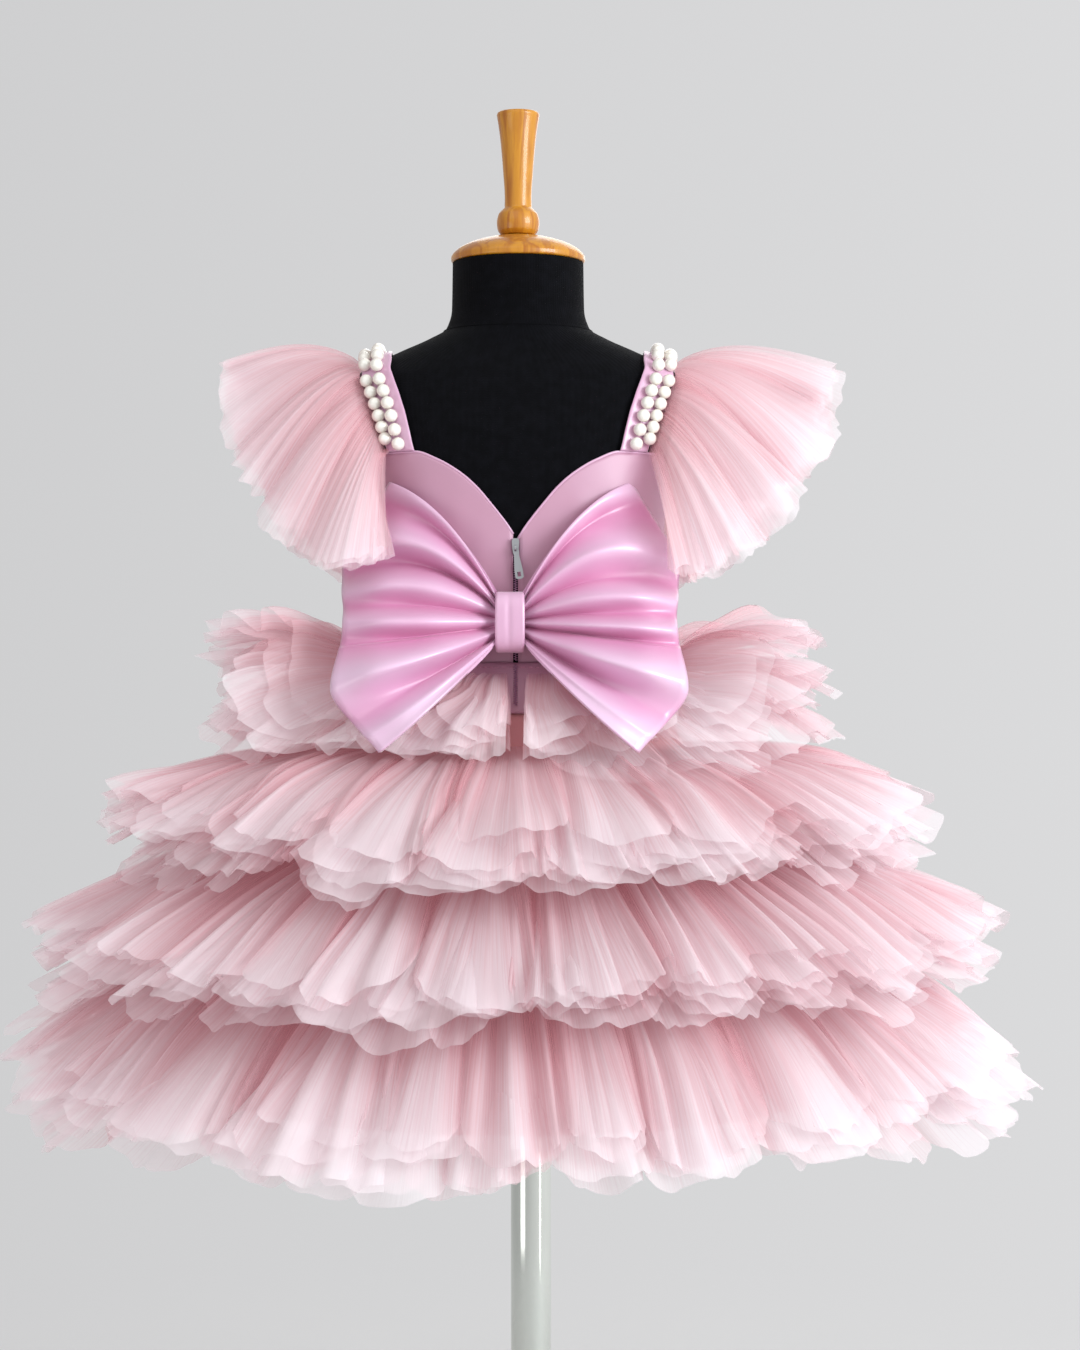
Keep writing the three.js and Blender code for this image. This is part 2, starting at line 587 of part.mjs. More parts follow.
// One gathered layer of a sleeve, fanned out from the strap's outer edge.
function addSleeveLayer(name, side, rim, { waves, swing, sunk, sunkAtSeam, length }, seed) {
  const columns = waves * 4;
  const rimCurve = overShoulder(rim, side);
  const basePoint = (share, t) => {
    const { point, across, up } = strapFrame(side, share);
    const root = point.addScaledVector(across, STRAP_WIDTH / 2 + SLEEVE_SEAM).addScaledVector(up, 0.6);
    const end = rimCurve.getPoint(share);
    const puff = Math.sin(Math.PI * t ** 0.75) * SLEEVE_PUFF;
    const way = end.clone().sub(root);
    const outward = vector(0, Math.sign(share - 0.5) * Math.abs(Math.cos(Math.PI * share)), 0);
    outward.z = Math.sin(Math.PI * share);
    return root.addScaledVector(way, t).addScaledVector(outward, puff);
  };
  const normalAt = (share, t) => {
    const [s, u] = [THREE.MathUtils.clamp(share, 0.01, 0.99), Math.max(t, 0.02)];
    const alongRim = basePoint(s + 0.01, u).sub(basePoint(s - 0.01, u));
    const alongRib = basePoint(s, u + 0.02).sub(basePoint(s, u - 0.02));
    const normal = alongRim.cross(alongRib).normalize();
    const centre = vector(side * 60, 0, 700);
    return normal.dot(basePoint(s, u).sub(centre)) < 0 ? normal.negate() : normal;
  };
  const grid = (wall) =>
    steps(SLEEVE_STRIPS + 1).map((row) => {
      const t = row / SLEEVE_STRIPS;
      return steps(columns + 1).map((column) => {
        const share = column / columns;
        const rise = swing * flutter(column, seed) * t ** 0.9;
        const drop = lerp(sunkAtSeam, sunk, t ** 0.7) + wall;
        return basePoint(share, t * length).addScaledVector(normalAt(share, t), rise - drop);
      });
    });
  addMesh(dressed, name, wallGeometry(grid(0), grid(TULLE_WALL), false), "tulle");
}

function addShoulders() {
  const sides = [
    { side: -1, label: "left", rim: SLEEVE_RIM_LEFT },
    { side: 1, label: "right", rim: SLEEVE_RIM_RIGHT },
  ];
  for (const { side, label, rim } of sides) {
    addStrap(`strap_${label}`, side);
    SLEEVE_LAYERS.forEach((layer, index) =>
      addSleeveLayer(`sleeve_${label}_${layer.layer}`, side, rim, layer, side + 3 + 4 * index),
    );
  }
}

// The plain skirt that carries the ruffles.
function addUnderskirt() {
  const grid = (out) =>
    SKIRT_SECTIONS.map(({ z, a, b, power }) =>
      steps(SKIRT_COLUMNS).map((i) => {
        const [x, y] = oval((i / SKIRT_COLUMNS) * 2 * Math.PI, a + out, b + out, power);
        return vector(x, y, z);
      }),
    );
  addMesh(dressed, "underskirt", wallGeometry(grid(0), grid(-SATIN_WALL), true), "lining");
}

// How far a ruffle layer is pressed flat at an angle from the centre back: 1 under the bow, 0 at the sides.
function pressAt(name, angle) {
  if (!PRESSED[name]) return 0;
  return 1 - smoothstep(Math.abs(angle), PRESSED_WITHIN, PRESSED_FADES_BY);
}

// One gathered layer of a tier, sewn to the underskirt along its seam.
function addRuffle(ruffle, seed) {
  const columns = ruffle.waves * 4;
  const parted = ruffle.name in PRESSED;
  const flat = PRESSED[ruffle.name];
  const seat = rowAt(SKIRT_SECTIONS, "z", ruffle.seamZ - TULLE_WALL);
  const leave = flat
    ? vector(flat.midB - seat.b, 0, flat.midZ - ruffle.seamZ)
    : vector(ruffle.midR - seat.a, 0, ruffle.midZ - ruffle.seamZ);
  const seamOut = RUFFLE_SEAT + (Math.max(0, -leave.z) / leave.length()) * TULLE_WALL;

  // Half width, half depth and height of the layer's base at a share of its length from the seam.
  const base = (angle, t) => {
    const press = pressAt(ruffle.name, angle);
    const a = bend(seat.a + seamOut, ruffle.midR, ruffle.rimR, t);
    const share = lerp(seat.b / seat.a, RUFFLE_DEPTH_SHARE, t);
    const free = lerp(seat.b + seamOut, a * share, Math.min(1, t * 3));
    const droop = BACK_DROOP * Math.cos(angle) ** 2 * t ** 1.5;
    const freeZ = bend(ruffle.seamZ, ruffle.midZ, ruffle.rimZ, t) - droop;
    if (!press) return { a, b: free, z: freeZ };
    const b = lerp(free, bend(seat.b + seamOut, flat.midB, flat.rimB, t), press);
    return { a, b, z: lerp(freeZ, bend(ruffle.seamZ, flat.midZ, flat.rimZ, t), press) };
  };

  const angleAt = (column, t) => {
    const uneven = (unevenness(column + seed * 101) - 0.5) * 0.4 * Math.min(1, 2 * t);
    if (!parted) return ((column + uneven) / columns) * 2 * Math.PI;
    const gap = lerp(PARTING_AT_SEAM / seat.a, PARTING_AT_RIM / ruffle.rimR, t);
    const inside = column === 0 || column === columns ? 0 : uneven;
    return gap + ((column + inside) / columns) * (2 * Math.PI - 2 * gap);
  };

  const pointAt = (column, t, wall) => {
    const angle = angleAt(column, t);
    const folded = angle > Math.PI ? angle - 2 * Math.PI : angle;
    const here = base(folded, t);
    const [low, high] = [base(folded, Math.max(0, t - 0.02)), base(folded, Math.min(1, t + 0.02))];
    const slope = vector(high.a - low.a, 0, high.z - low.z).normalize();
    const [sideways, upwards] = [-slope.z, slope.x];
    const press = lerp(1, PRESSED_SWING, pressAt(ruffle.name, folded));
    const swing = ruffle.swing * flutter(column % columns, seed) * t ** 0.8 * press;
    const move = swing - wall;
    const longer = 3 * (unevenness(column * 3 + seed) - 0.5) * t;
    const power = lerp(seat.power, 2, Math.min(1, 2 * t));
    const [x, y] = oval(angle, here.a + sideways * move + longer, here.b + sideways * move + longer, power);
    return vector(x, y, here.z + upwards * move);
  };

  const count = parted ? columns + 1 : columns;
  const grid = (wall) =>
    steps(ruffle.strips + 1).map((row) =>
      steps(count).map((column) => pointAt(column, row / ruffle.strips, wall)),
    );
  addMesh(dressed, ruffle.name, wallGeometry(grid(0), grid(TULLE_WALL), !parted), "tulle");
}

// One wing of the bow: doubled satin, pleated into the knot and opening towards its rim.
function addBowWing(name, side) {
  const grid = (wall) =>
    steps(BOW_STRIPS + 1).map((row) => {
      const t = row / BOW_STRIPS;
      return steps(BOW_COLUMNS + 1).map((column) => {
        const edge = column / BOW_COLUMNS;
        const fan = rowAt(BOW_FANS, "edge", edge);
        const x = side * bend(BOW_ROOT_OUT, fan.midOut, fan.rimOut, t);
        const z = bend(fan.rootZ, fan.midZ, fan.rimZ, t);
        const depth = bend(BOW_ROOT_DEPTH, fan.midDepth, fan.rimDepth, t);
        const fold = Math.cos(edge * BOW_FOLDS * 2 * Math.PI + side * 0.3);
        const swing = lerp(2, 6, Math.sin(Math.min(1, t * 1.6) * Math.PI * 0.5));
        return vector(x + KNOT_X, -depth - fold * swing + wall, z);
      });
    });
  addMesh(dressed, name, wallGeometry(grid(0), grid(BOW_WALL), false), "satin");
}

// The band round the middle of the bow, open to both sides where the wings go in.
function addKnot() {
  const [inner, outer] = [zipDepth(KNOT_TOP_Z) + SEAM_GAP, KNOT_OUT_DEPTH];
  const middle = vector(KNOT_X, -(inner + outer) / 2, (KNOT_TOP_Z + KNOT_FOOT_Z) / 2);
  const [deep, tall] = [(outer - inner) / 2, (KNOT_TOP_Z - KNOT_FOOT_Z) / 2];
  const across = [-1, -0.55, 0.05, 0.5, 1];
  const grid = (wall) =>
    across.map((share, row) =>
      steps(KNOT_COLUMNS).map((i) => {
        const [y, z] = oval((i / KNOT_COLUMNS) * 2 * Math.PI, deep - wall, tall - wall, 3);
        const crease = wall || row === 0 || row === across.length - 1 ? 0 : row % 2 ? 0.5 : -0.5;
        return vector((share * KNOT_WIDTH) / 2, y + Math.min(0, Math.sign(y)) * crease, z).add(middle);
      }),
    );
  addMesh(dressed, "bow_knot", wallGeometry(grid(0), grid(KNOT_WALL), true), "satin");
}

addStand();
addForm();
addBodice();
addZip();
addShoulders();
addUnderskirt();
RUFFLES.forEach((ruffle, index) => addRuffle(ruffle, index + 1));
addBowWing("bow_left", -1);
addBowWing("bow_right", 1);
addKnot();

export default group;
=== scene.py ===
"""A child's tiered tulle party dress on a limbless dress form, dressed over its fixed CAD frame.

Shapes are worked out in millimetres about the form's own axis, with the back and its bow towards -Y.
Building a mesh moves them into the frame, in metres.
"""

from __future__ import annotations

import json
import logging
import math
from dataclasses import dataclass, field
from enum import Enum
from pathlib import Path

import bpy
import numpy as np
from mathutils import Vector
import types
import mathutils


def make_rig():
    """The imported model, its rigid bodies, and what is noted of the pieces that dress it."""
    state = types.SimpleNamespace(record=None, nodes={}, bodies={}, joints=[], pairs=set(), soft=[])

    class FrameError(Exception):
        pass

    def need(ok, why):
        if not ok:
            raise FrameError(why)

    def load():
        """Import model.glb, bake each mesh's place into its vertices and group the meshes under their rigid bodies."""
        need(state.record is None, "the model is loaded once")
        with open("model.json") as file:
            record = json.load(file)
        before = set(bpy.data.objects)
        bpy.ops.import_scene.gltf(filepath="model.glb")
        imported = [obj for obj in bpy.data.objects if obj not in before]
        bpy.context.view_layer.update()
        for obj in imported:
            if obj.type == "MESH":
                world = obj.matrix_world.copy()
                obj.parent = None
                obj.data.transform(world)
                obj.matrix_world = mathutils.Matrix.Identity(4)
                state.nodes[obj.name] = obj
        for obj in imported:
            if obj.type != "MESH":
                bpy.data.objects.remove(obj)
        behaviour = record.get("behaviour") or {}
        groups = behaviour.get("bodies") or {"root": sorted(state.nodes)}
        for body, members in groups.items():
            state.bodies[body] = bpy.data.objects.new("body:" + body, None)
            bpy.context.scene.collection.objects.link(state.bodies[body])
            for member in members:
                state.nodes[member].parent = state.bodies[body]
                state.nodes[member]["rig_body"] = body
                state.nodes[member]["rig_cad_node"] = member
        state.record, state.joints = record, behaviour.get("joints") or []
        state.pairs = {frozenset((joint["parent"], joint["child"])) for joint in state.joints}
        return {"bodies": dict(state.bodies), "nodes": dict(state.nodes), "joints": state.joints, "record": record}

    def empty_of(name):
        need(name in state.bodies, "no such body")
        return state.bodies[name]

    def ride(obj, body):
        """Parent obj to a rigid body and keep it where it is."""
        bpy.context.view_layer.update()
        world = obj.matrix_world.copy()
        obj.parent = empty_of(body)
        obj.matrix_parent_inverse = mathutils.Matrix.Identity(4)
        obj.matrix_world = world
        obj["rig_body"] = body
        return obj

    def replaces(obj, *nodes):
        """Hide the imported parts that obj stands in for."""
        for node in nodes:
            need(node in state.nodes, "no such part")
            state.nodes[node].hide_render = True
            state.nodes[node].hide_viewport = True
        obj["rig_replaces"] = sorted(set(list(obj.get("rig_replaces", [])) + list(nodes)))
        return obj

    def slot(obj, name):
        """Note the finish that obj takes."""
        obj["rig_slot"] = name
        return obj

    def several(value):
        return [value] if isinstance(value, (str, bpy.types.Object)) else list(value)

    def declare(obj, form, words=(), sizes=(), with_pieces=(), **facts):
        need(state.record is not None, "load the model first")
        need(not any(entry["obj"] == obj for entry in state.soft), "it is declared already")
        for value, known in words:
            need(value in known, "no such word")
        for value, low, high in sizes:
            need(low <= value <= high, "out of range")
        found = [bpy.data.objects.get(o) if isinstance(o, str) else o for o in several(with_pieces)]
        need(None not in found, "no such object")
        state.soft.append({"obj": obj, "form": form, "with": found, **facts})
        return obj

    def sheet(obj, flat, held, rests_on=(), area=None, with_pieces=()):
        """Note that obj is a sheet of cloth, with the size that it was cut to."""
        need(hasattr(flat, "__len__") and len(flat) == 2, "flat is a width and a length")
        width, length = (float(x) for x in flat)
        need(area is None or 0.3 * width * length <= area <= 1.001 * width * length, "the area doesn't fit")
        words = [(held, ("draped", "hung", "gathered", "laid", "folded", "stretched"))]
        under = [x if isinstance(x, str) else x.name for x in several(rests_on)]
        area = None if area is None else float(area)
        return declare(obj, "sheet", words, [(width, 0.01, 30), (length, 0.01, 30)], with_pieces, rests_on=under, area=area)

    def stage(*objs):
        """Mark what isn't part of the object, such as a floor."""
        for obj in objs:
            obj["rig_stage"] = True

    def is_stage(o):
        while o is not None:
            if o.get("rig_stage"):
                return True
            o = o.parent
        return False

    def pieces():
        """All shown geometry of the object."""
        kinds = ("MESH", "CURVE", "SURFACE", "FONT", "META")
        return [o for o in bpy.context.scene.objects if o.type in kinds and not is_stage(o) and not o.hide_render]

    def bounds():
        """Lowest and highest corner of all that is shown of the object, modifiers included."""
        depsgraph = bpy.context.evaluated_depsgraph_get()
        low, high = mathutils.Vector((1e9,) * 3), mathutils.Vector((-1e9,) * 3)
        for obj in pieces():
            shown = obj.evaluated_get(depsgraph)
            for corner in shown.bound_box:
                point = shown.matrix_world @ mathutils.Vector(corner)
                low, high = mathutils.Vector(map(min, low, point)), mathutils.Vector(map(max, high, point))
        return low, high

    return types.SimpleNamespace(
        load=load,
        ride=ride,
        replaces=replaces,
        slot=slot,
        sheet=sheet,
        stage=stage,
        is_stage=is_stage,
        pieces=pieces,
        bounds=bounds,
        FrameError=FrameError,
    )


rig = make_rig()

log = logging.getLogger("dress")

MILLIMETRE = 0.001
FORM_SHIFT = np.array([-8.0, 0.0, 0.0])  # the form hangs a little to the left of its pole
FORM_AXIS = (0.0, 0.0)
POLE_AXIS = (-float(FORM_SHIFT[0]), 0.0)  # where the pole stands, seen from the form's axis
DRESS_BODY = "dress_on_form"
TURN = 2 * math.pi
LEVEL = np.array([1.0, 1.0, 0.0])  # takes the height out of a vector
UP = np.array([0.0, 0.0, 1.0])
SIDES = ((-1, "left"), (1, "right"))

Colour = tuple[float, float, float]


def srgb(red: int, green: int, blue: int) -> Colour:
    """Gives the linear colour of three display values from 0 to 255."""
    share = np.array([red, green, blue]) / 255
    return tuple(np.where(share <= 0.04045, share / 12.92, ((share + 0.055) / 1.055) ** 2.4).tolist())


def table(*rows: tuple[float, ...]) -> np.ndarray:
    """Makes a dataclass field that holds a table of numbers."""
    return field(default_factory=lambda: np.array(rows, float))


# Shapes as functions of two parameters


def smoothstep(value: np.ndarray, low: float, high: float) -> np.ndarray:
    """Rises from 0 at low to 1 at high along 3s² - 2s³, where s is the share of the way."""
    share = np.clip((value - low) / (high - low), 0, 1)
    return share * share * (3 - 2 * share)


def bump(distance: np.ndarray, width: float) -> np.ndarray:
    """Gives a bell that is 1 at distance 0 and falls off over a width, as e to the minus square."""
    return np.exp(-((distance / width) ** 2))


def unevenness(seed: np.ndarray | float) -> np.ndarray:
    """Gives a number from 0 to 1 that looks random: the fraction of a large multiple of the seed's sine."""
    wave = np.sin(np.asarray(seed, float) * 12.9898 + 4.137) * 43758.5453
    return wave - np.floor(wave)


def bend(start: np.ndarray, middle: np.ndarray, end: np.ndarray, t: np.ndarray) -> np.ndarray:
    """Follows the parabola that is at start for t = 0, at middle for t = 0.5 and at end for t = 1."""
    control = 2 * middle - (start + end) / 2
    return (1 - t) ** 2 * start + 2 * t * (1 - t) * control + t**2 * end


def ring_of(count: int) -> np.ndarray:
    """Gives evenly spaced angles round a full turn."""
    return np.arange(count) / count * TURN


def steps(*stretches: tuple[float, float, int]) -> np.ndarray:
    """Joins stretches of even steps, each given by its start, its end and how many places it has."""
    return np.unique(np.concatenate([np.linspace(*stretch) for stretch in stretches]))


def stacked(*parts: np.ndarray) -> np.ndarray:
    """Puts x, y and z of a grid together as points."""
    return np.stack(np.broadcast_arrays(*parts), axis=-1)


def unit(vectors: np.ndarray) -> np.ndarray:
    """Scales vectors to length 1."""
    return vectors / np.maximum(np.linalg.norm(vectors, axis=-1, keepdims=True), 1e-9)


def travelled(points: np.ndarray) -> np.ndarray:
    """Gives the length of a row of points up to each of them."""
    return np.append(0, np.cumsum(np.linalg.norm(np.diff(points, axis=0), axis=1)))


def grid_normals(points: np.ndarray) -> np.ndarray:
    """Gives the normal of a grid at each point, as the cross product of its two directions."""
    return unit(np.cross(np.gradient(points, axis=0), np.gradient(points, axis=1)))


def oval(angle: np.ndarray, a: np.ndarray, b: np.ndarray, power: np.ndarray) -> tuple[np.ndarray, np.ndarray]:
    """Walks round a squarish oval, |x/a|^p + |y/b|^p = 1, from the back centre towards +X.

    Args:
        angle: How far round, in radians.
        a: Half its width.
        b: Half its depth.
        power: Its squareness, where 2 is an ellipse.

    Returns:
        x and y of each point.
    """
    across, along = np.sin(angle), np.cos(angle)
    x = a * np.sign(across) * np.abs(across) ** (2 / power)
    y = -b * np.sign(along) * np.abs(along) ** (2 / power)
    return x, y


def through(values: np.ndarray, place: np.ndarray, ring: bool = True) -> np.ndarray:
    """Joins evenly spaced values with half cosine waves, so that the curve is level at each of them.

    Args:
        values: The values at places 0, 1, 2 and on.
        place: Where to read the curve.
        ring: Whether the last value is followed by the first.

    Returns:
        The value of the curve at each place.
    """
    whole = np.floor(place).astype(int)
    ease = (1 - np.cos(math.pi * (place - whole))) / 2
    mode = "wrap" if ring else "clip"
    return np.take(values, whole, mode=mode) * (1 - ease) + np.take(values, whole + 1, mode=mode) * ease


def wander(share: np.ndarray, knots: float, seed: float, ring: bool = True) -> np.ndarray:
    """Follows a smooth uneven curve from -1 to 1, with about so many uneven heights from share 0 to 1."""
    count = max(3, round(knots))
    return 2 * through(unevenness(np.arange(count + 1 - ring) * 1.7 + seed), share * count, ring) - 1


def table_at(rows: np.ndarray, value: np.ndarray | float) -> list[np.ndarray]:
    """Reads a table between its rows, on smooth curves that never overshoot it.

    Between two rows each column follows the Hermite cubic whose slope at a row is the harmonic mean of
    the slopes on its two sides, and level where they have different signs.

    Args:
        rows: The table, whose first column rises.
        value: Where to read it.

    Returns:
        One array for each further column.
    """
    knots, columns = rows[:, 0], rows[:, 1:]
    span = np.diff(knots)[:, None]
    slope = np.diff(columns, axis=0) / span
    product = slope[:-1] * slope[1:]
    total = np.where(product > 0, slope[:-1] + slope[1:], 1)
    tangent = np.vstack([slope[:1], np.where(product > 0, 2 * product / total, 0), slope[-1:]])
    value = np.clip(np.asarray(value, float), knots[0], knots[-1])
    row = np.clip(np.searchsorted(knots, value, side="right") - 1, 0, len(knots) - 2)
    share = ((value - knots[row]) / span[row, 0])[..., None]
    rise = share * share * (3 - 2 * share)
    start = share * (1 - share) ** 2
    end = share * share * (share - 1)
    found = columns[row] * (1 - rise) + columns[row + 1] * rise
    found = found + span[row] * (tangent[row] * start + tangent[row + 1] * end)
    return [found[..., column] for column in range(columns.shape[1])]


def curve_through(points: np.ndarray, t: np.ndarray) -> np.ndarray:
    """Follows a centripetal Catmull-Rom curve, whose knots are the square roots of the distances.

    Args:
        points: The points that it passes.
        t: The share of the spans, from 0 to 1.

    Returns:
        A point for each share.
    """
    whole = np.vstack([2 * points[0] - points[1], points, 2 * points[-1] - points[-2]])
    knot = np.sqrt(np.linalg.norm(np.diff(whole, axis=0), axis=1))[:, None]
    place = np.clip(t, 0, 1) * (len(points) - 1)
    span = np.minimum(place.astype(int), len(points) - 2)
    share = (place - span)[:, None]
    before, start, end, after = (whole[span + k] for k in range(4))
    first, here, last = (knot[span + k] for k in range(3))
    leave = ((start - before) / first - (end - before) / (first + here) + (end - start) / here) * here
    arrive = ((end - start) / here - (after - start) / (here + last) + (after - end) / last) * here
    cubic = 2 * start - 2 * end + leave + arrive
    square = -3 * start + 3 * end - 2 * leave - arrive
    return start + leave * share + square * share**2 + cubic * share**3


class Gathers:
    """The folds of one gathered sheet along its rim: large fans, folds on them and fine pleats.

    A fan is round on top and sharp in its valley, as 2|cos(p/2)| - 1.27 is for a phase p. Its size, its
    width and the way it leans differ from the next one's.

    Attributes:
        fan: Height of the fans.
        spread: How far the cloth spreads from a fan's crest, to both sides.
        lean: How far the fans lean to one side.
        fold: Height of the folds.
        pleat: Height of the pleats.
        length: How much longer or shorter the cloth is cut.
        fringe: The unevenness of the cut edge.
        curl: Where the rim curls up or down.
    """

    def __init__(
        self, share: np.ndarray, counts: tuple[int, int, int], seed: float, sheet: int, ring: bool = True
    ) -> None:
        """Works out every curve. The fans and folds of sheets that are gathered together are nearly in step.

        Args:
            share: Places along the rim, from 0 to 1.
            counts: How many fans, folds and pleats there are.
            seed: Which stack of sheets.
            sheet: Which sheet of the stack.
            ring: Whether the rim is closed.
        """
        fans, folds, pleats = counts
        own = seed + 31.0 * sheet

        def uneven(per_fan: float, start: float) -> np.ndarray:
            """Gives an uneven curve with so many heights to a fan."""
            return wander(share, fans * per_fan, start, ring)

        def wave(count: int, drift: float, drifting: np.ndarray) -> np.ndarray:
            """Gives so many sine waves, each moved along by a drift."""
            return np.sin(TURN * (share * count + drift * drifting))

        stray = 0.46 * uneven(0.65, seed + 3) + 0.16 * uneven(0.8, own + 4)
        phase = TURN * (share * fans + stray + 0.06 * sheet)
        size = 0.82 + 0.42 * uneven(0.8, seed + 5) + 0.24 * uneven(1.1, own + 6)
        self.fan = size * (2 * np.abs(np.cos(phase / 2)) - 1.27)
        self.spread = size * np.sin(phase)
        self.lean = 0.6 * uneven(1.1, seed + 13) + 0.6 * uneven(1.0, own + 14)
        self.fold = (0.5 + 0.5 * uneven(1.4, own + 8)) * wave(folds, 0.9, uneven(1.7, own + 7))
        depth = np.maximum(0, 0.25 + 0.75 * uneven(2.2, own + 11))
        self.pleat = depth * wave(pleats, 1.3, uneven(2.0, own + 9))
        self.length = uneven(1.25, own + 17)
        self.fringe = uneven(16, own + 19)
        self.curl = uneven(1.6, own + 23)

    def crest(self, grow: np.ndarray, depth: float = 1.0) -> np.ndarray:
        """Says how far each point stands out of its folds, from 0 to 1, for folds that grow to the rim: the mask for
        painted fold shade.
        """
        height = 0.6 * self.fan * (0.3 + 0.7 * grow) + 0.2 * self.fold + 0.14 * self.pleat
        return np.clip(0.52 + depth * height, 0, 1)


@dataclass
class Patch:
    """A grid of points, row by row, that becomes faces.

    Attributes:
        points: Rows by columns by 3, in millimetres.
        ring: The last column joins the first.
        tube: The last row joins the first.
        capped: A fan closes the first and the last row.
        from_rim: The pattern is measured from the last row instead of the first.
        centre: The faces look away from this point.
        crest: How far out of its folds each point stands, from 0 to 1, which the finish uses to paint shade into the
            folds and light onto the crests.
    """

    points: np.ndarray
    ring: bool = False
    tube: bool = False
    capped: bool = False
    from_rim: bool = False
    centre: tuple[float, float, float] = (0.0, 0.0, 560.0)
    crest: np.ndarray | None = None

    def lengths(self) -> tuple[np.ndarray, np.ndarray]:
        """Measures the cloth along its last row and along its average column.

        Returns:
            The length up to each column and up to each row, in metres, with one more for a closed grid.
        """
        across = travelled(np.vstack([self.points[-1], self.points[-1, :1]]))
        closed = np.concatenate([self.points, self.points[:1]])
        rises = np.linalg.norm(np.diff(closed, axis=0), axis=2).mean(axis=1)
        return across * MILLIMETRE, np.append(0, np.cumsum(rises)) * MILLIMETRE

    def cut(self) -> dict[str, object]:
        """Measures the flat cut of a gathered sheet: as wide as its rim, narrower at its seam.

        Returns:
            The cut's width and length in metres and its area, which is the mean length of its rows times
            the length of its columns.
        """
        across, along = self.lengths()
        rim, rib = float(across[-1 if self.ring else -2]), float(along[-2])
        rows = np.linalg.norm(np.diff(self.points, axis=1), axis=2).sum(axis=1) * MILLIMETRE
        area = float(rows.mean()) * rib
        return {"flat": (round(rim, 3), round(rib, 4)), "area": round(min(area, 0.999 * rim * rib), 5)}

    def squares(self) -> tuple[np.ndarray, np.ndarray]:
        """Numbers the corners of the squares between neighbouring rows and columns.

        Returns:
            The corners of each square, and the pattern coordinates of each corner in metres of cloth.
        """
        rows, columns = self.points.shape[:2]
        row = np.arange(rows if self.tube else rows - 1)[:, None]
        column = np.arange(columns if self.ring else columns - 1)[None, :]
        corners = [(row, column), (row + 1, column), (row + 1, column + 1), (row, column + 1)]
        quads = np.stack([(r % rows) * columns + c % columns for r, c in corners], axis=-1)
        across, along = self.lengths()
        if self.from_rim:
            along = along[rows - 1] - along
        pattern = [stacked(across[c], along[r]) for r, c in corners]
        return quads.reshape(-1, 4), np.stack(pattern, axis=2).reshape(-1, 2)

    def faces(self) -> tuple[np.ndarray, np.ndarray, np.ndarray, np.ndarray]:
        """Lists every face, looking out, with a fan of triangles over each capped end.

        A closed or domed surface looks out where the sum of its face normals times their places, measured
        from the centre, is positive. Otherwise the corners of each face are taken the other way round.

        Returns:
            The points, the corners of the faces in a row, how many corners each face has, and the pattern
            coordinates of each corner.
        """
        flat = self.points.reshape(-1, 3)
        quads, pattern = self.squares()
        loops, sizes = quads.reshape(-1), np.full(len(quads), 4)
        a, b, c, d = (flat[quads[:, k]] for k in range(4))
        volume = float((np.cross(c - a, d - b) * (a - np.array(self.centre))).sum())
        if self.capped:
            count = self.points.shape[1]
            here = np.arange(count)
            after = (here + 1) % count
            start, middle = len(flat) - count, np.full(count, len(flat))
            below = np.stack([here, after, middle], axis=1)
            above = np.stack([start + after, start + here, middle + 1], axis=1)
            flat = np.vstack([flat, self.points[0].mean(0), self.points[-1].mean(0)])
            loops = np.concatenate([loops, below.ravel(), above.ravel()])
            sizes = np.concatenate([sizes, np.full(2 * count, 3)])
            pattern = np.vstack([pattern, np.zeros((6 * count, 2))])
        if volume < 0:
            mirrored = np.repeat(2 * np.cumsum(sizes) - sizes - 1, sizes) - np.arange(len(loops))
            loops, pattern = loops[mirrored], pattern[mirrored]
        return flat, loops, sizes, pattern


def mesh_of(name: str, patches: list[Patch]) -> bpy.types.Mesh:
    """Puts patches into one mesh, in metres and in the frame.

    Args:
        name: The mesh's name.
        patches: Its surfaces.

    Returns:
        The mesh, with the UV map "cloth" and, where its patches have crests, the attribute "crest".
    """
    points, corners, sizes, patterns = zip(*(patch.faces() for patch in patches))
    first = np.cumsum([0, *(len(part) for part in points[:-1])])
    vertices = (np.concatenate(points) + FORM_SHIFT) * MILLIMETRE
    loops = np.concatenate([corner + start for corner, start in zip(corners, first)])
    counts = np.concatenate(sizes)
    mesh = bpy.data.meshes.new(name)
    mesh.vertices.add(len(vertices))
    mesh.vertices.foreach_set("co", vertices.astype(np.float32).ravel())
    mesh.loops.add(len(loops))
    mesh.loops.foreach_set("vertex_index", loops.astype(np.int32))
    mesh.polygons.add(len(counts))
    mesh.polygons.foreach_set("loop_start", (np.cumsum(counts) - counts).astype(np.int32))
    pattern = np.concatenate(patterns).astype(np.float32).ravel()
    mesh.uv_layers.new(name="cloth").data.foreach_set("uv", pattern)
    mesh.polygons.foreach_set("use_smooth", np.ones(len(counts), bool))
    mesh.update(calc_edges=True)
    mesh.validate()
    if patches[0].crest is not None:
        crest = np.concatenate([patch.crest.ravel() for patch in patches]).astype(np.float32)
        mesh.attributes.new("crest", "FLOAT", "POINT").data.foreach_set("value", crest)
    return mesh


def link(name: str, data: bpy.types.ID) -> bpy.types.Object:
    """Puts an object with a mesh, a light or a camera into the scene.

    Args:
        name: The object's name.
        data: What it holds.

    Returns:
        The object.
    """
    made = bpy.data.objects.new(name, data)
    bpy.context.scene.collection.objects.link(made)
    return made


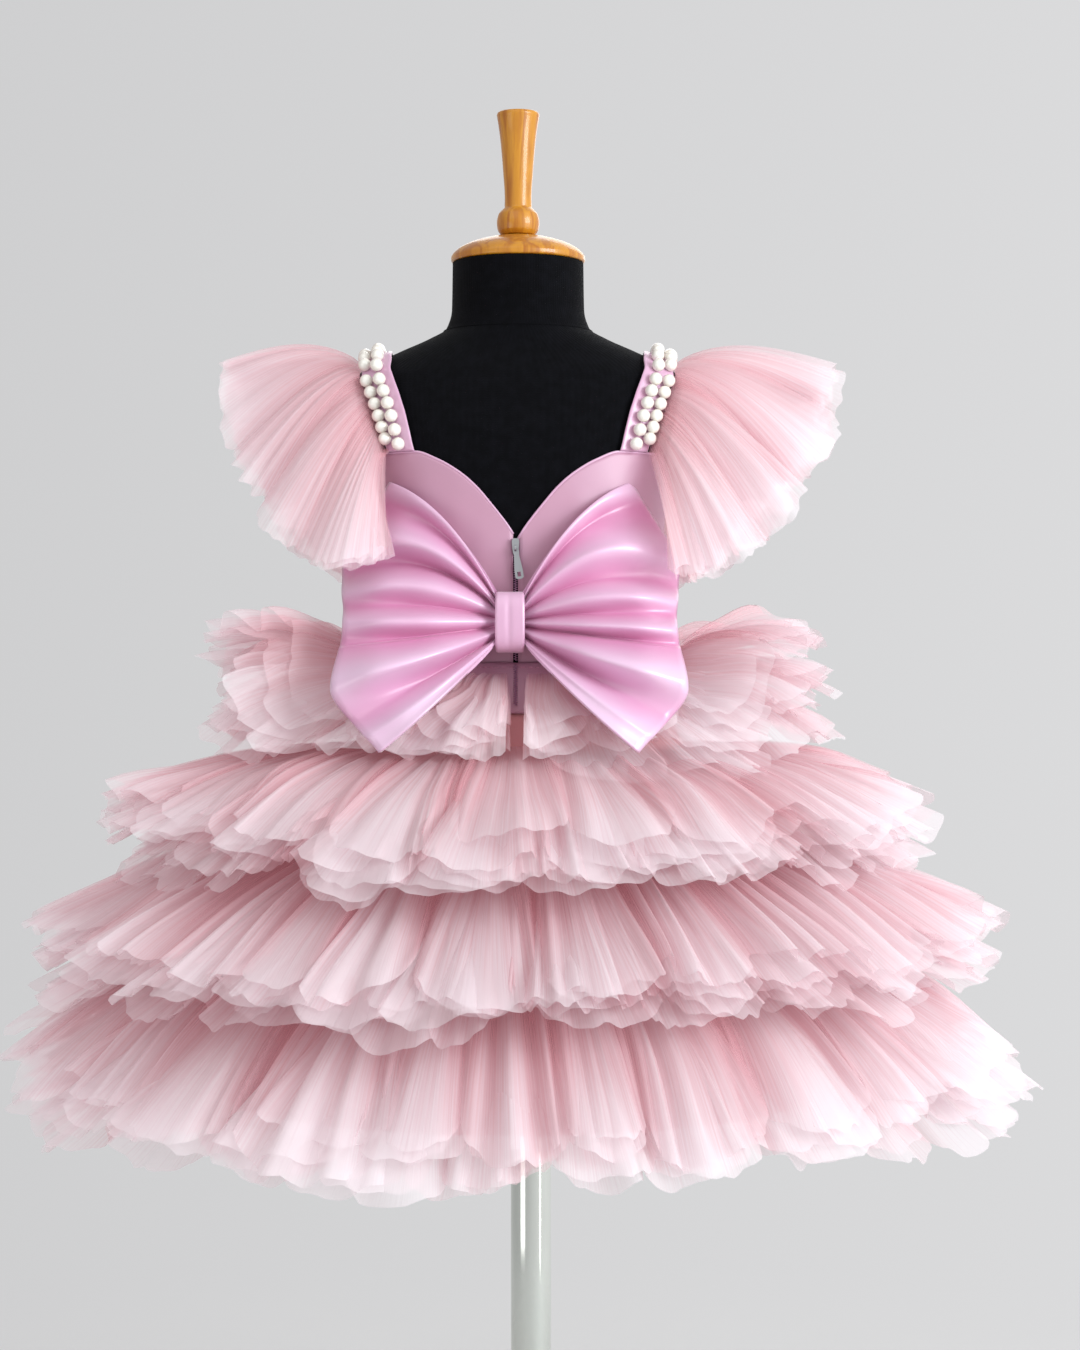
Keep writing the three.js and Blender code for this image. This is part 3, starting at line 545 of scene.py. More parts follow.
def tube_along(path: np.ndarray, radius: float, sides: int, closed: bool = False) -> Patch:
    """Carries a circle along a path, square to it.

    Args:
        path: The points of its middle, in millimetres.
        radius: The circle's radius.
        sides: How many points the circle has.
        closed: Whether the path returns to its start.

    Returns:
        The tube, with its ends closed.
    """
    ahead = np.roll(path, -1, axis=0) - np.roll(path, 1, axis=0) if closed else np.gradient(path, axis=0)
    along = unit(ahead)
    helper = np.where(np.abs(along[:, 2:]) > 0.9, [[1.0, 0.0, 0.0]], [[0.0, 0.0, 1.0]])
    sideways = unit(np.cross(along, helper))
    upwards = np.cross(sideways, along)
    angle = ring_of(sides)[None, :, None]
    points = path[:, None] + radius * (sideways[:, None] * np.cos(angle) + upwards[:, None] * np.sin(angle))
    return Patch(points, ring=True, tube=closed, capped=not closed, centre=tuple(path.mean(0).tolist()))


def turned(profile: np.ndarray, sides: int, middle: tuple[float, float]) -> Patch:
    """Turns a profile about an upright axis.

    Args:
        profile: Radius and height of each ring, in millimetres.
        sides: How many points a ring has.
        middle: Where the axis stands.

    Returns:
        The turned surface with both ends closed.
    """
    angle = ring_of(sides)
    radius, height = profile[:, :1], profile[:, 1:]
    points = stacked(middle[0] + radius * np.sin(angle), middle[1] - radius * np.cos(angle), height)
    return Patch(points, ring=True, capped=True, centre=(*middle, float(height.mean())))


# Finishes


class Source(Enum):
    """The pattern coordinates that a finish follows."""

    OBJECT = "Object"
    CLOTH = "UV"


class Signal:
    """A socket of a shader node on which ordinary arithmetic can be written."""

    def __init__(self, shader: Shader, socket: bpy.types.NodeSocket) -> None:
        """Keeps the socket and the shader that it belongs to."""
        self.shader = shader
        self.socket = socket

    def _math(self, operation: str, first: Signal | float, second: Signal | float) -> Signal:
        """Joins two signals or numbers with a Math node."""
        return self.shader.node("Math", {0: first, 1: second}, operation=operation)

    def __add__(self, other: Signal | float) -> Signal:
        """Adds."""
        return self._math("ADD", self, other)

    def __sub__(self, other: Signal | float) -> Signal:
        """Subtracts."""
        return self._math("SUBTRACT", self, other)

    def __rsub__(self, other: float) -> Signal:
        """Subtracts this signal from a number."""
        return self._math("SUBTRACT", other, self)

    def __mul__(self, other: Signal | float) -> Signal:
        """Multiplies."""
        return self._math("MULTIPLY", self, other)

    __radd__ = __add__
    __rmul__ = __mul__

    def sine(self) -> Signal:
        """Takes the sine."""
        return self._math("SINE", self, 0.0)

    def ramp(self, low: float, high: float) -> Signal:
        """Rises from 0 at low to 1 at high, and stays there."""
        return self.shader.node("MapRange", {"Value": self, "From Min": low, "From Max": high})


class Shader:
    """A material with one Principled shader, whose plain values are set on its own sockets."""

    def __init__(self, name: str, **plain: float | Colour) -> None:
        """Makes the material.

        Args:
            name: The material's name.
            plain: Values of the shader's sockets, with _ for each space in a socket's name.
        """
        self.material = bpy.data.materials.new(name)
        self.material.use_nodes = True
        self.tree = self.material.node_tree
        self.surface = next(n for n in self.tree.nodes if n.type == "BSDF_PRINCIPLED")
        for key, value in plain.items():
            self.drive(key.replace("_", " "), value)

    def plug(self, value: object, socket: bpy.types.NodeSocket) -> None:
        """Links a signal to a socket, or sets a plain value or colour on it."""
        if isinstance(value, Signal):
            self.tree.links.new(value.socket, socket)
        elif socket.type == "RGBA":
            socket.default_value = (*value, 1.0)
        else:
            socket.default_value = value

    def drive(self, name: str, value: object) -> None:
        """Links a signal to one of the Principled shader's sockets, or sets a plain value on it."""
        self.plug(value, self.surface.inputs[name])

    def node(
        self, kind: str, inputs: dict[str | int, object], output: int | str = 0, **settings: object
    ) -> Signal:
        """Makes a node.

        Args:
            kind: Its type, without ShaderNode.
            inputs: What goes into its sockets.
            output: The output that is wanted.
            settings: The node's own options.

        Returns:
            The output.
        """
        made = self.tree.nodes.new(f"ShaderNode{kind}")
        for key, value in settings.items():
            setattr(made, key, value)
        for key, value in inputs.items():
            self.plug(value, made.inputs[key])
        return Signal(self, made.outputs[output])

    def place(self, source: Source, stretch: tuple[float, float, float] = (1.0, 1.0, 1.0)) -> Signal:
        """Gives pattern coordinates, each repeated so many times."""
        raw = self.node("TexCoord", {}, output=source.value)
        return self.node("Mapping", {"Vector": raw, "Scale": stretch})

    def noise(self, place: Signal, scale: float, detail: float = 3.0, distortion: float = 0.0) -> Signal:
        """Gives smooth noise from about 0.25 to 0.75."""
        wanted = {"Vector": place, "Scale": scale, "Detail": detail, "Distortion": distortion}
        return self.node("TexNoise", wanted)

    def cloud(self, scale: float, detail: float = 3.0, distortion: float = 0.0) -> Signal:
        """Gives smooth noise in the piece's own space."""
        return self.noise(self.place(Source.OBJECT), scale, detail, distortion)

    def along_cloth(self, axis: str) -> Signal:
        """Gives metres of cloth: X along a sheet's rim, Y away from its first edge or its rim."""
        return self.node("SeparateXYZ", {"Vector": self.place(Source.CLOTH)}, output=axis)

    def threads(self, axis: str, per_metre: float) -> Signal:
        """Gives so many sine waves to a metre of cloth."""
        return (self.along_cloth(axis) * (TURN * per_metre)).sine()

    def crest(self) -> Signal:
        """Reads how far out of its folds the cloth stands, from 0 to 1: the mask for painted fold shade and crest
        light.
        """
        return self.node("Attribute", {}, output="Fac", attribute_name="crest")

    def paint(
        self, share: Signal, first: Colour, second: Colour, low: float = 0.0, high: float = 1.0
    ) -> None:
        """Drives the base colour: the first one for a share up to low and the second one from high on."""
        wanted = {0: share.ramp(low, high), 6: first, 7: second}
        self.drive("Base Color", self.node("Mix", wanted, 2, data_type="RGBA"))

    def relief(self, height: Signal, depth: float, strength: float) -> None:
        """Raises the surface by a height, where 1 stands for a depth in metres, as strongly as wanted."""
        wanted = {"Height": height, "Distance": depth, "Strength": strength}
        self.drive("Normal", self.node("Bump", wanted))


@dataclass(frozen=True)
class Tulle:
    """Soft nylon net in one thin layer: streaked along its folds, in relief and in painted shade, and see-through by a
    constant share.
    """

    name: str
    pale: Colour
    deep: Colour
    cover: float = 0.34
    streaks_per_metre: float = 620.0
    pale_rim: float = 0.1  # metres over which the colour pales towards the rim: painted shade that deepens towards the gathered seam

    def material(self) -> bpy.types.Material:
        """Makes the material: painted shade deep in the folds and towards the seam, painted light pale on the crests
        and at the rim.
        """
        shader = Shader(
            self.name,
            Alpha=self.cover,
            Roughness=0.85,
            Sheen_Weight=0.15,
            # A faint painted glow in the deep colour stands in for light passing through the net.
            Emission_Strength=0.06,
            Emission_Color=self.deep,
        )
        # The streaks are fine relief and also painted shade along the tight gathers.
        streak = shader.noise(shader.place(Source.CLOTH, (self.streaks_per_metre, 9.0, 1.0)), 1.0, 2.0)
        rim = 1.0 - shader.along_cloth("Y").ramp(0.0, self.pale_rim)
        # Painted light and shade: deep in the fold valleys and towards the seam, pale on the crests and at the rim;
        # the cloud is random tone.
        share = rim * 0.5 + shader.crest() * 0.85 + streak + shader.cloud(14.0, 1.0) * 0.4 - 0.89
        shader.paint(share, self.deep, self.pale)
        shader.relief(streak, 0.0009, 0.5)
        return shader.material


@dataclass(frozen=True)
class Satin:
    """Satin with floats along one direction: a soft gloss, fine ribs and faint cloudy crushing."""

    name: str
    face: Colour
    # On the pleated bow the glow colour is painted light; on plain satin it is a paler random tone.
    glow: Colour
    gloss: float
    crush: float = 0.35
    # Folded satin takes painted fold shade and painted crest light from the crest mask.
    folded: bool = False
    ribs_per_metre: float = 1900.0

    def material(self) -> bpy.types.Material:
        """Makes the material; where the cloth is pleated, its colour carries painted shade in the valleys and painted
        light on the crests.
        """
        shader = Shader(
            self.name,
            Roughness=self.gloss,
            Sheen_Weight=0.3,
            Sheen_Roughness=0.35,
            Anisotropic=0.3,
            Specular_IOR_Level=0.9,
            Coat_Weight=0.15,
            Coat_Roughness=0.3,
        )
        cloud = shader.cloud(26.0, 3.0, 0.6)
        if self.folded:
            # Painted shade in the valleys and painted light on the crests and lower lobes, from the crest mask, with
            # random cloudy tone.
            share = shader.crest() * 0.95 + cloud * 0.3 - 0.12
        else:
            slub = shader.noise(shader.place(Source.CLOTH, (90.0, 900.0, 1.0)), 1.0, 2.0)
            share = cloud + slub * 0.1 - 0.2
        shader.paint(share, self.face, self.glow)
        shader.drive("Roughness", self.gloss + (cloud - 0.5) * 0.1)
        rib = shader.threads("Y", self.ribs_per_metre) * 0.5 + 0.5
        shader.relief(rib * 0.006 + cloud * self.crush, 0.0012, 0.5)
        return shader.material


@dataclass(frozen=True)
class PlainWeave:
    """A matt plain-woven lining."""

    name: str
    face: Colour
    shade: Colour
    threads_per_metre: float = 1400.0

    def material(self) -> bpy.types.Material:
        """Makes the material with threads both ways."""
        shader = Shader(self.name, Roughness=0.82, Sheen_Weight=0.2)
        warp, weft = (shader.threads(axis, self.threads_per_metre) for axis in "XY")
        cloud = shader.cloud(18.0)
        shader.paint(cloud * 1.4 - 0.2, self.shade, self.face)
        shader.relief(warp * weft * 0.25 + cloud, 0.0006, 0.4)
        return shader.material


@dataclass(frozen=True)
class Knit:
    """The black jersey that covers the form."""

    name: str
    face: Colour
    worn: Colour
    wales_per_metre: float = 620.0
    courses_per_metre: float = 900.0

    def material(self) -> bpy.types.Material:
        """Makes the material with fine wales and a little lint."""
        shader = Shader(
            self.name, Roughness=0.9, Sheen_Weight=0.02, Sheen_Roughness=0.5, Specular_IOR_Level=0.08
        )
        wale = shader.threads("X", self.wales_per_metre)
        course = (shader.along_cloth("Y") * (TURN * self.courses_per_metre) + wale).sine()
        shader.paint(shader.cloud(160.0, 4.0) * 2.4 - 0.9, self.face, self.worn)
        shader.relief(wale * 0.4 + course * 0.3, 0.0003, 0.5)
        return shader.material


@dataclass(frozen=True)
class Wood:
    """Turned honey-coloured wood under a clear lacquer."""

    name: str
    light: Colour
    dark: Colour

    def material(self) -> bpy.types.Material:
        """Makes the material: upright grain, long pores and a glossy coat."""
        shader = Shader(self.name, Roughness=0.35, Coat_Weight=0.4, Coat_Roughness=0.1)
        grain = shader.noise(shader.place(Source.OBJECT, (75.0, 75.0, 7.0)), 1.0, 4.0, 1.2)
        pores = shader.noise(shader.place(Source.OBJECT, (900.0, 900.0, 40.0)), 1.0, 2.0)
        figure = (grain * 26.0).sine() * 0.22 + grain * 0.6 + pores * 0.3 - 0.05
        shader.paint(figure, self.dark, self.light, 0.1, 0.9)
        shader.drive("Roughness", 0.3 + pores * 0.2)
        shader.relief(pores, 0.0002, 0.25)
        return shader.material


@dataclass(frozen=True)
class Metal:
    """Plated metal with faint polishing marks."""

    name: str
    face: Colour
    gloss: float

    def material(self) -> bpy.types.Material:
        """Makes the material with smudges that dull it here and there."""
        shader = Shader(self.name, Metallic=1.0, Roughness=self.gloss)
        smudge = shader.noise(shader.place(Source.OBJECT, (60.0, 60.0, 9.0)), 1.0, 4.0)
        shader.paint(smudge, tuple(0.86 * part for part in self.face), self.face, 0.3, 0.7)
        shader.drive("Roughness", self.gloss + smudge * 0.1)
        return shader.material


@dataclass(frozen=True)
class Pearl:
    """A moulded pearl: ivory under a clear coat, with a painted sheen that makes it warmer and darker towards its rim.
    """

    name: str
    face: Colour
    rim: Colour

    def material(self) -> bpy.types.Material:
        """Makes the material, whose rim takes a painted sheen from the angle that the surface faces."""
        shader = Shader(
            self.name, Roughness=0.2, Coat_Weight=1.0, Coat_Roughness=0.05, Specular_IOR_Level=0.8
        )
        # Painted sheen: the colour turns to the warmer, darker rim colour as the surface turns away from the view.
        facing = shader.node("LayerWeight", {"Blend": 0.35}, output="Facing")
        shader.paint(facing * 0.9 + shader.cloud(220.0, 2.0) * 0.2 - 0.05, self.face, self.rim)
        return shader.material


@dataclass(frozen=True)
class Moulded:
    """Coloured nylon, for the zip's teeth and the sewing thread."""

    name: str
    face: Colour
    gloss: float

    def material(self) -> bpy.types.Material:
        """Makes the material with a slight unevenness in its colour."""
        shader = Shader(self.name, Roughness=self.gloss)
        speck = shader.cloud(700.0, 2.0)
        shader.paint(speck, tuple(0.72 * part for part in self.face), self.face, 0.3, 0.6)
        shader.relief(speck, 0.0001, 0.3)
        return shader.material


class Finish(Enum):
    """Every finish of the object."""

    # Tulle: the deep colour is painted shade in the folds and its painted glow, the pale colour painted light on the
    # crests and at the rim.
    TULLE = Tulle("tulle", srgb(255, 243, 248), srgb(235, 163, 173))
    SATIN = Satin("satin", srgb(212, 158, 190), srgb(224, 186, 212), 0.34, 0.35)
    # The bow's face colour is painted shade in its valleys, its glow colour painted light on its crests and lower
    # lobes.
    BOW = Satin("bow_satin", srgb(212, 130, 174), srgb(230, 193, 220), 0.33, 0.35, folded=True)
    BODICE = Satin("bodice_satin", srgb(190, 137, 161), srgb(195, 147, 172), 0.5, 0.6)
    LINING = PlainWeave("lining", srgb(232, 168, 172), srgb(218, 150, 154))
    FORM = Knit("form_cloth", srgb(5, 5, 8), srgb(11, 11, 16))
    WOOD = Wood("turned_wood", srgb(214, 148, 30), srgb(170, 98, 10))
    CHROME = Metal("stand_metal", srgb(232, 236, 230), 0.08)
    STEEL = Metal("zip_metal", srgb(196, 198, 202), 0.26)
    COIL = Moulded("zip_coil", srgb(170, 128, 160), 0.45)
    # The pearl's rim colour is a painted sheen at its edge.
    PEARL = Pearl("pearl", srgb(252, 250, 242), srgb(222, 204, 188))
    THREAD = Moulded("thread", srgb(226, 170, 196), 0.6)


# The record's slot of each finish. The trims have none, and the bow is of the same satin as the straps
TRIMS = (Finish.PEARL, Finish.THREAD)
SLOTS = {finish: finish.value.name for finish in Finish if finish not in TRIMS} | {Finish.BOW: "satin"}


class Workroom:
    """Makes pieces, dresses them and fixes them to the form's body."""

    def __init__(self, frame: dict) -> None:
        self.nodes = frame["nodes"]
        self.materials = {finish: finish.value.material() for finish in Finish}

    def piece(
        self,
        name: str,
        patches: list[Patch],
        finish: Finish,
        replaces: tuple[str, ...] = (),
        wall: float = 0.0,
    ) -> bpy.types.Object:
        """Makes one piece.

        Args:
            name: The piece's name.
            patches: Its surfaces.
            finish: Its finish.
            replaces: The CAD nodes that it stands for.
            wall: The thickness that is added inwards, in millimetres, or 0 for one thin layer.

        Returns:
            The piece.
        """
        piece = link(name, mesh_of(name, patches))
        piece.data.materials.append(self.materials[finish])
        if wall:
            solid = piece.modifiers.new("wall", "SOLIDIFY")
            solid.thickness = wall * MILLIMETRE
            solid.offset = -1.0
        if replaces:
            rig.replaces(piece, *replaces)
        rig.ride(piece, DRESS_BODY)
        if finish in SLOTS:
            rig.slot(piece, SLOTS[finish])
        log.info("%s: %d faces", name, len(piece.data.polygons))
        return piece

    def dress_node(self, name: str, finish: Finish) -> None:
        """Gives a CAD node its finish."""
        materials = self.nodes[name].data.materials
        materials.clear()
        materials.append(self.materials[finish])


@dataclass
class Assembly:
    """A part of the object whose pieces are made in the workroom."""

    room: Workroom


@dataclass
class OvalBody(Assembly):
    """An assembly round the form's axis, whose level sections are squarish ovals.

    Attributes:
        sections: Height, half width, half depth and squareness of the ovals.
    """

    sections: np.ndarray

    def skin(self, angle: np.ndarray, z: np.ndarray | float, out: float = 0.0) -> np.ndarray:
        """Gives points on the body, or a distance outside it: the oval of the table's row at each height.

        Args:
            angle: How far round from the back centre.
            z: The height.
            out: How much wider and deeper the oval is.

        Returns:
            The points.
        """
        a, b, power = table_at(self.sections, z)
        x, y = oval(angle, a + out, b + out, power)
        return stacked(x, y, z)


# The form and its stand


@dataclass
class DressForm(OvalBody):
    """The limbless form with its turned neck cap and finial, and the stand under it."""

    sections: np.ndarray = table(
        (476, 66, 54, 2.1), (480, 78, 66, 2.1), (500, 87, 74, 2.2), (545, 89, 76, 2.3), (580, 86, 72, 2.4),
        (606, 84, 69, 2.4), (650, 85.5, 70, 2.5), (700, 89, 71, 2.6), (740, 93, 68, 2.6),
        (765, 99, 61, 2.5), (782, 101, 54, 2.4), (790, 92, 50, 2.3), (799, 74, 46, 2.2),
        (807, 56, 43.5, 2.1), (814, 44.5, 42, 2), (826, 41, 41, 2), (855, 40.5, 40.5, 2),
    )
    rings: tuple[tuple[float, float, int], ...] = ((476, 480, 5), (480, 782, 70), (782, 855, 46))
    neck_seam: float = 812.5
    neck_seam_radius: float = 0.35
    # Radius and height of the cap, as shares of its full ones, against the way from its foot to its top
    cap: np.ndarray = table(
        (0.0, 0.955, 0.0), (0.06, 0.985, 0.02), (0.12, 1.0, 0.08), (0.2, 1.0, 0.18), (0.26, 0.99, 0.25),
        (0.38, 0.93, 0.42), (0.52, 0.8, 0.62), (0.68, 0.6, 0.8), (0.84, 0.38, 0.93), (1.0, 0.2, 1.0),
    )
    cap_radius: float = 41.5
    cap_foot: float = 855.3
    cap_height: float = 17.0
    # Radius of the finial against its height: a bulb, a waist and a tapered grip
    finial: np.ndarray = table(
        (0.0, 10.6), (0.04, 12.6), (0.1, 13.2), (0.165, 12.3), (0.205, 9.9), (0.225, 8.4), (0.3, 8.3),
        (0.5, 9.2), (0.8, 11.2), (0.96, 13.0), (0.975, 13.2), (0.992, 12.9), (1.0, 12.2),
    )
    finial_foot: float = 872.6
    finial_height: float = 76.0
    pole_radius: float = 12.5
    pole_foot: float = 16.3
    pole_top: float = 475.7
    pole_chamfer: float = 0.3
    base_radius: float = 150.0
    base_height: float = 16.0
    base_edge: float = 4.0  # rounding of its upper edge

    def clearance(self, points: np.ndarray) -> tuple[np.ndarray, np.ndarray]:
        """Measures how far points lie outside the form, from the oval's value and its gradient there.

        Args:
            points: The points, in a row.

        Returns:
            The distances and the directions straight out from the form.
        """

        def value(at: np.ndarray) -> np.ndarray:
            """Gives how much larger the oval through a point is than the form's, as a share."""
            a, b, power = table_at(self.sections, at[..., 2])
            return (np.abs(at[..., 0] / a) ** power + np.abs(at[..., 1] / b) ** power) ** (1 / power) - 1

        reach = 3.0
        slope = stacked(*[(value(points + s) - value(points - s)) / (2 * reach) for s in np.eye(3) * reach])
        size = np.linalg.norm(slope, axis=-1)
        return value(points) / size, slope / size[..., None]

    def build(self) -> None:
        """Makes the form, its neck seam, the turned wood and the stand."""
        room = self.room
        body = Patch(self.skin(ring_of(160), steps(*self.rings)[:, None]), ring=True, capped=True)
        room.piece("form_body", [body], Finish.FORM, ("form_torso",))
        neck = self.skin(ring_of(120), self.neck_seam, 0.15)
        seam = tube_along(neck, self.neck_seam_radius, 6, closed=True)
        room.piece("form_neck_seam", [seam], Finish.FORM)
        turnings = (
            ("turned_cap", self.cap_profile(), 96, FORM_AXIS, Finish.WOOD, "neck_cap"),
            ("turned_finial", self.finial_profile(), 72, FORM_AXIS, Finish.WOOD, "finial"),
            ("polished_pole", self.pole_profile(), 64, POLE_AXIS, Finish.CHROME, "stand_pole"),
            ("polished_base", self.base_profile(), 120, POLE_AXIS, Finish.CHROME, "stand_base"),
        )
        for name, profile, sides, axis, finish, node in turnings:
            room.piece(name, [turned(profile, sides, axis)], finish, (node,))

    def cap_profile(self) -> np.ndarray:
        """Gives the cap's radius and height: a thin flared rim, a cove and a dome."""
        radius, height = table_at(self.cap, np.linspace(0, 1, 48))
        return stacked(radius * self.cap_radius, self.cap_foot + height * self.cap_height)

    def finial_profile(self) -> np.ndarray:
        """Gives the finial's radius and height."""
        height = steps((0, 0.3, 40), (0.3, 0.96, 30), (0.96, 1, 8))
        return stacked(table_at(self.finial, height)[0], self.finial_foot + height * self.finial_height)

    def pole_profile(self) -> np.ndarray:
        """Gives the pole's radius and height, with a small chamfer at both ends."""
        edge = self.pole_chamfer
        outer = self.pole_radius
        inner = outer - edge
        foot = self.pole_foot
        top = self.pole_top
        return np.array([[inner, foot], [outer, foot + edge], [outer, top - edge], [inner, top]])

    def base_profile(self) -> np.ndarray:
        """Gives the base's radius and height: a flat disc with a rounded upper edge."""
        turn = np.linspace(0, math.pi / 2, 9)
        edge = self.base_edge * stacked(np.cos(turn), np.sin(turn))
        shoulder = np.array([self.base_radius - self.base_edge, self.base_height - self.base_edge])
        heel = [[self.base_radius - 0.4, 0.0], [self.base_radius, 0.6]]
        return np.vstack([heel, shoulder + edge, [[30.0, self.base_height]]])


# The dress


@dataclass
class Skirt(OvalBody):
    """The plain underskirt with its satin yoke, which carries the ruffles."""

    sections: np.ndarray = table(
        (343, 185, 172, 2), (450, 145, 130, 2), (556, 104, 89.5, 2.2),
        (598, 90, 76, 2.4), (607.4, 87.5, 73, 2.4),
    )
    hem: float = 343.0
    lining_top: float = 578.8
    yoke_foot: float = 577.5
    yoke_top: float = 607.3
    set_back: float = 2.2  # of the lining from the skirt's outer face
    folds: int = 17
    fold: float = 1.6  # height of a flare fold at the hem

    def build(self) -> None:
        """Makes the lining skirt with its soft flare folds, and the yoke under the waist."""
        angle = ring_of(240)
        z = np.linspace(self.hem, self.lining_top, 48)[:, None]
        flare = (self.lining_top - z) / (self.lining_top - self.hem)
        wave = self.fold * flare**1.4 * np.sin(angle * self.folds + 1.3 * np.sin(angle * 3))
        points = self.skin(angle, z, -self.set_back) + unit(self.skin(angle, z) * LEVEL) * wave[..., None]
        lining = Patch(points, ring=True)
        piece = self.room.piece("lining_skirt", [lining], Finish.LINING, ("underskirt",), wall=0.8)
        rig.sheet(piece, flat=(1.05, 0.25), held="hung", rests_on=["bodice_front"], area=0.2)
        z = np.linspace(self.yoke_foot, self.yoke_top, 16)[:, None]
        yoke = Patch(self.skin(angle, z), ring=True)
        piece = self.room.piece("skirt_yoke", [yoke], Finish.BODICE, ("underskirt",), wall=1.0)
        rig.sheet(piece, flat=(0.55, 0.032), held="stretched", rests_on=["form_body"])


@dataclass
class Bodice(Assembly):
    """The fitted satin bodice: a front, two backs that meet at the zip, and the edge of its neckline."""

    form: DressForm
    skirt: Skirt
    gap: float = 0.9
    wall: float = 1.2
    waist: float = 606.8
    chest: float = 715.0
    zip_x: float = -0.9
    zip_half: float = 1.45
    seam: float = 0.0018  # half the width of a side seam, in radians
    roll: float = 0.75  # radius of the neckline's edge
    stitches: int = 176
    stitch_z: float = 604.6
    stitch_half: float = 0.0115  # half a stitch's length, in radians
    thread_radius: float = 0.28
    # Height of the neckline against the distance from the centre
    back_neckline: np.ndarray = table(
        (0, 680), (4, 686.4), (8, 692), (15, 701), (24, 711.9),
        (33, 720.2), (46, 728.5), (59, 733.5), (82, 733.5), (92, 718),
    )
    front_neckline: np.ndarray = table((0, 727), (30, 728), (59, 733.5), (82, 733.5), (92, 718))

    def zip_angle(self, z: np.ndarray | float, edge: int) -> np.ndarray:
        """Gives the angle at which the cloth reaches the zip's edge: |x/a|^(p/2) is its sine.

        Args:
            z: The height.
            edge: 1 for the right edge and -1 for the left one.

        Returns:
            The angle at each height.
        """
        distance = self.zip_x + edge * self.zip_half
        a, _, power = table_at(self.form.sections, z)
        return np.sign(distance) * np.arcsin((abs(distance) / (a + self.gap)) ** (power / 2))

    def panel(
        self, start: int | float, end: float, neckline: np.ndarray, columns: int, out: float
    ) -> np.ndarray:
        """Lays a panel round the form from its waist to its neckline, with a little crushing in the satin.

        Args:
            start: The angle that it starts at, or 1 or -1 for that edge of the zip.
            end: The angle that it ends at.
            neckline: Height of the upper edge against the distance from the centre.
            columns: How many columns it has.
            out: How far outside the form it lies.

        Returns:
            Its points.
        """
        across = np.linspace(0, 1, columns)[None, :]
        up = np.linspace(0, 1, 46)[:, None]

        def angle_at(z: np.ndarray | float) -> np.ndarray:
            """Spreads the columns from the panel's first edge to its last one, at a height."""
            first = self.zip_angle(z, start) if isinstance(start, int) else start
            return first + (end - first) * across

        reach = np.abs(self.form.skin(angle_at(self.chest), self.chest)[..., 0])
        (top,) = table_at(neckline, reach)
        z = self.waist + (top - self.waist) * up
        points = self.form.skin(angle_at(z), z, out)
        x = points[..., 0]
        drag = np.sin(x * 0.16 + z * 0.11 + 2.2 * np.sin(z * 0.045))
        pull = np.sin(x * 0.31 - z * 0.07 + 1.7 * np.sin(x * 0.05))
        calm = np.sin(math.pi * up) * np.minimum(1, 6 * across) * np.minimum(1, 6 * (1 - across))
        return points + unit(points * LEVEL) * ((0.28 * drag + 0.18 * pull) * calm)[..., None]

    def build(self) -> None:
        """Makes the three panels, the rolled neckline edge and the waist seam's stitches."""
        out = self.gap + self.wall
        side = math.pi / 2
        front, back = self.front_neckline, self.back_neckline
        panels = {
            "bodice_front": (side + self.seam, TURN - side - self.seam, front, 150, (0.28, 0.125)),
            "bodice_back_right": (1, side - self.seam, back, 90, (0.14, 0.125)),
            "bodice_back_left": (-1, -side + self.seam, back, 90, (0.14, 0.125)),
        }
        for name, (*shape, cut) in panels.items():
            points = self.panel(*shape, out)
            piece = self.room.piece(f"satin_{name}", [Patch(points)], Finish.BODICE, (name,), self.wall)
            edge = tube_along(self.panel(*shape, out - 0.45)[-1], self.roll, 8)
            roll = self.room.piece(f"edge_of_{name}", [edge], Finish.SATIN)
            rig.sheet(piece, flat=cut, held="stretched", rests_on=["form_body"], with_pieces=[roll])
        self.stitch()

    def stitch(self) -> None:
        """Sews a row of small stitches round the waist, just under the seam."""
        middle = ring_of(self.stitches) + TURN / self.stitches / 2
        shifts = (-self.stitch_half, self.stitch_half)
        ends = [self.skirt.skin(middle + shift, self.stitch_z, 0.12) for shift in shifts]
        bars = [np.array([a, (a + b) / 2 * [1.002, 1.002, 1], b]) for a, b in zip(*ends)]
        stitches = [tube_along(bar, self.thread_radius, 5) for bar in bars]
        self.room.piece("waist_stitches", stitches, Finish.THREAD)


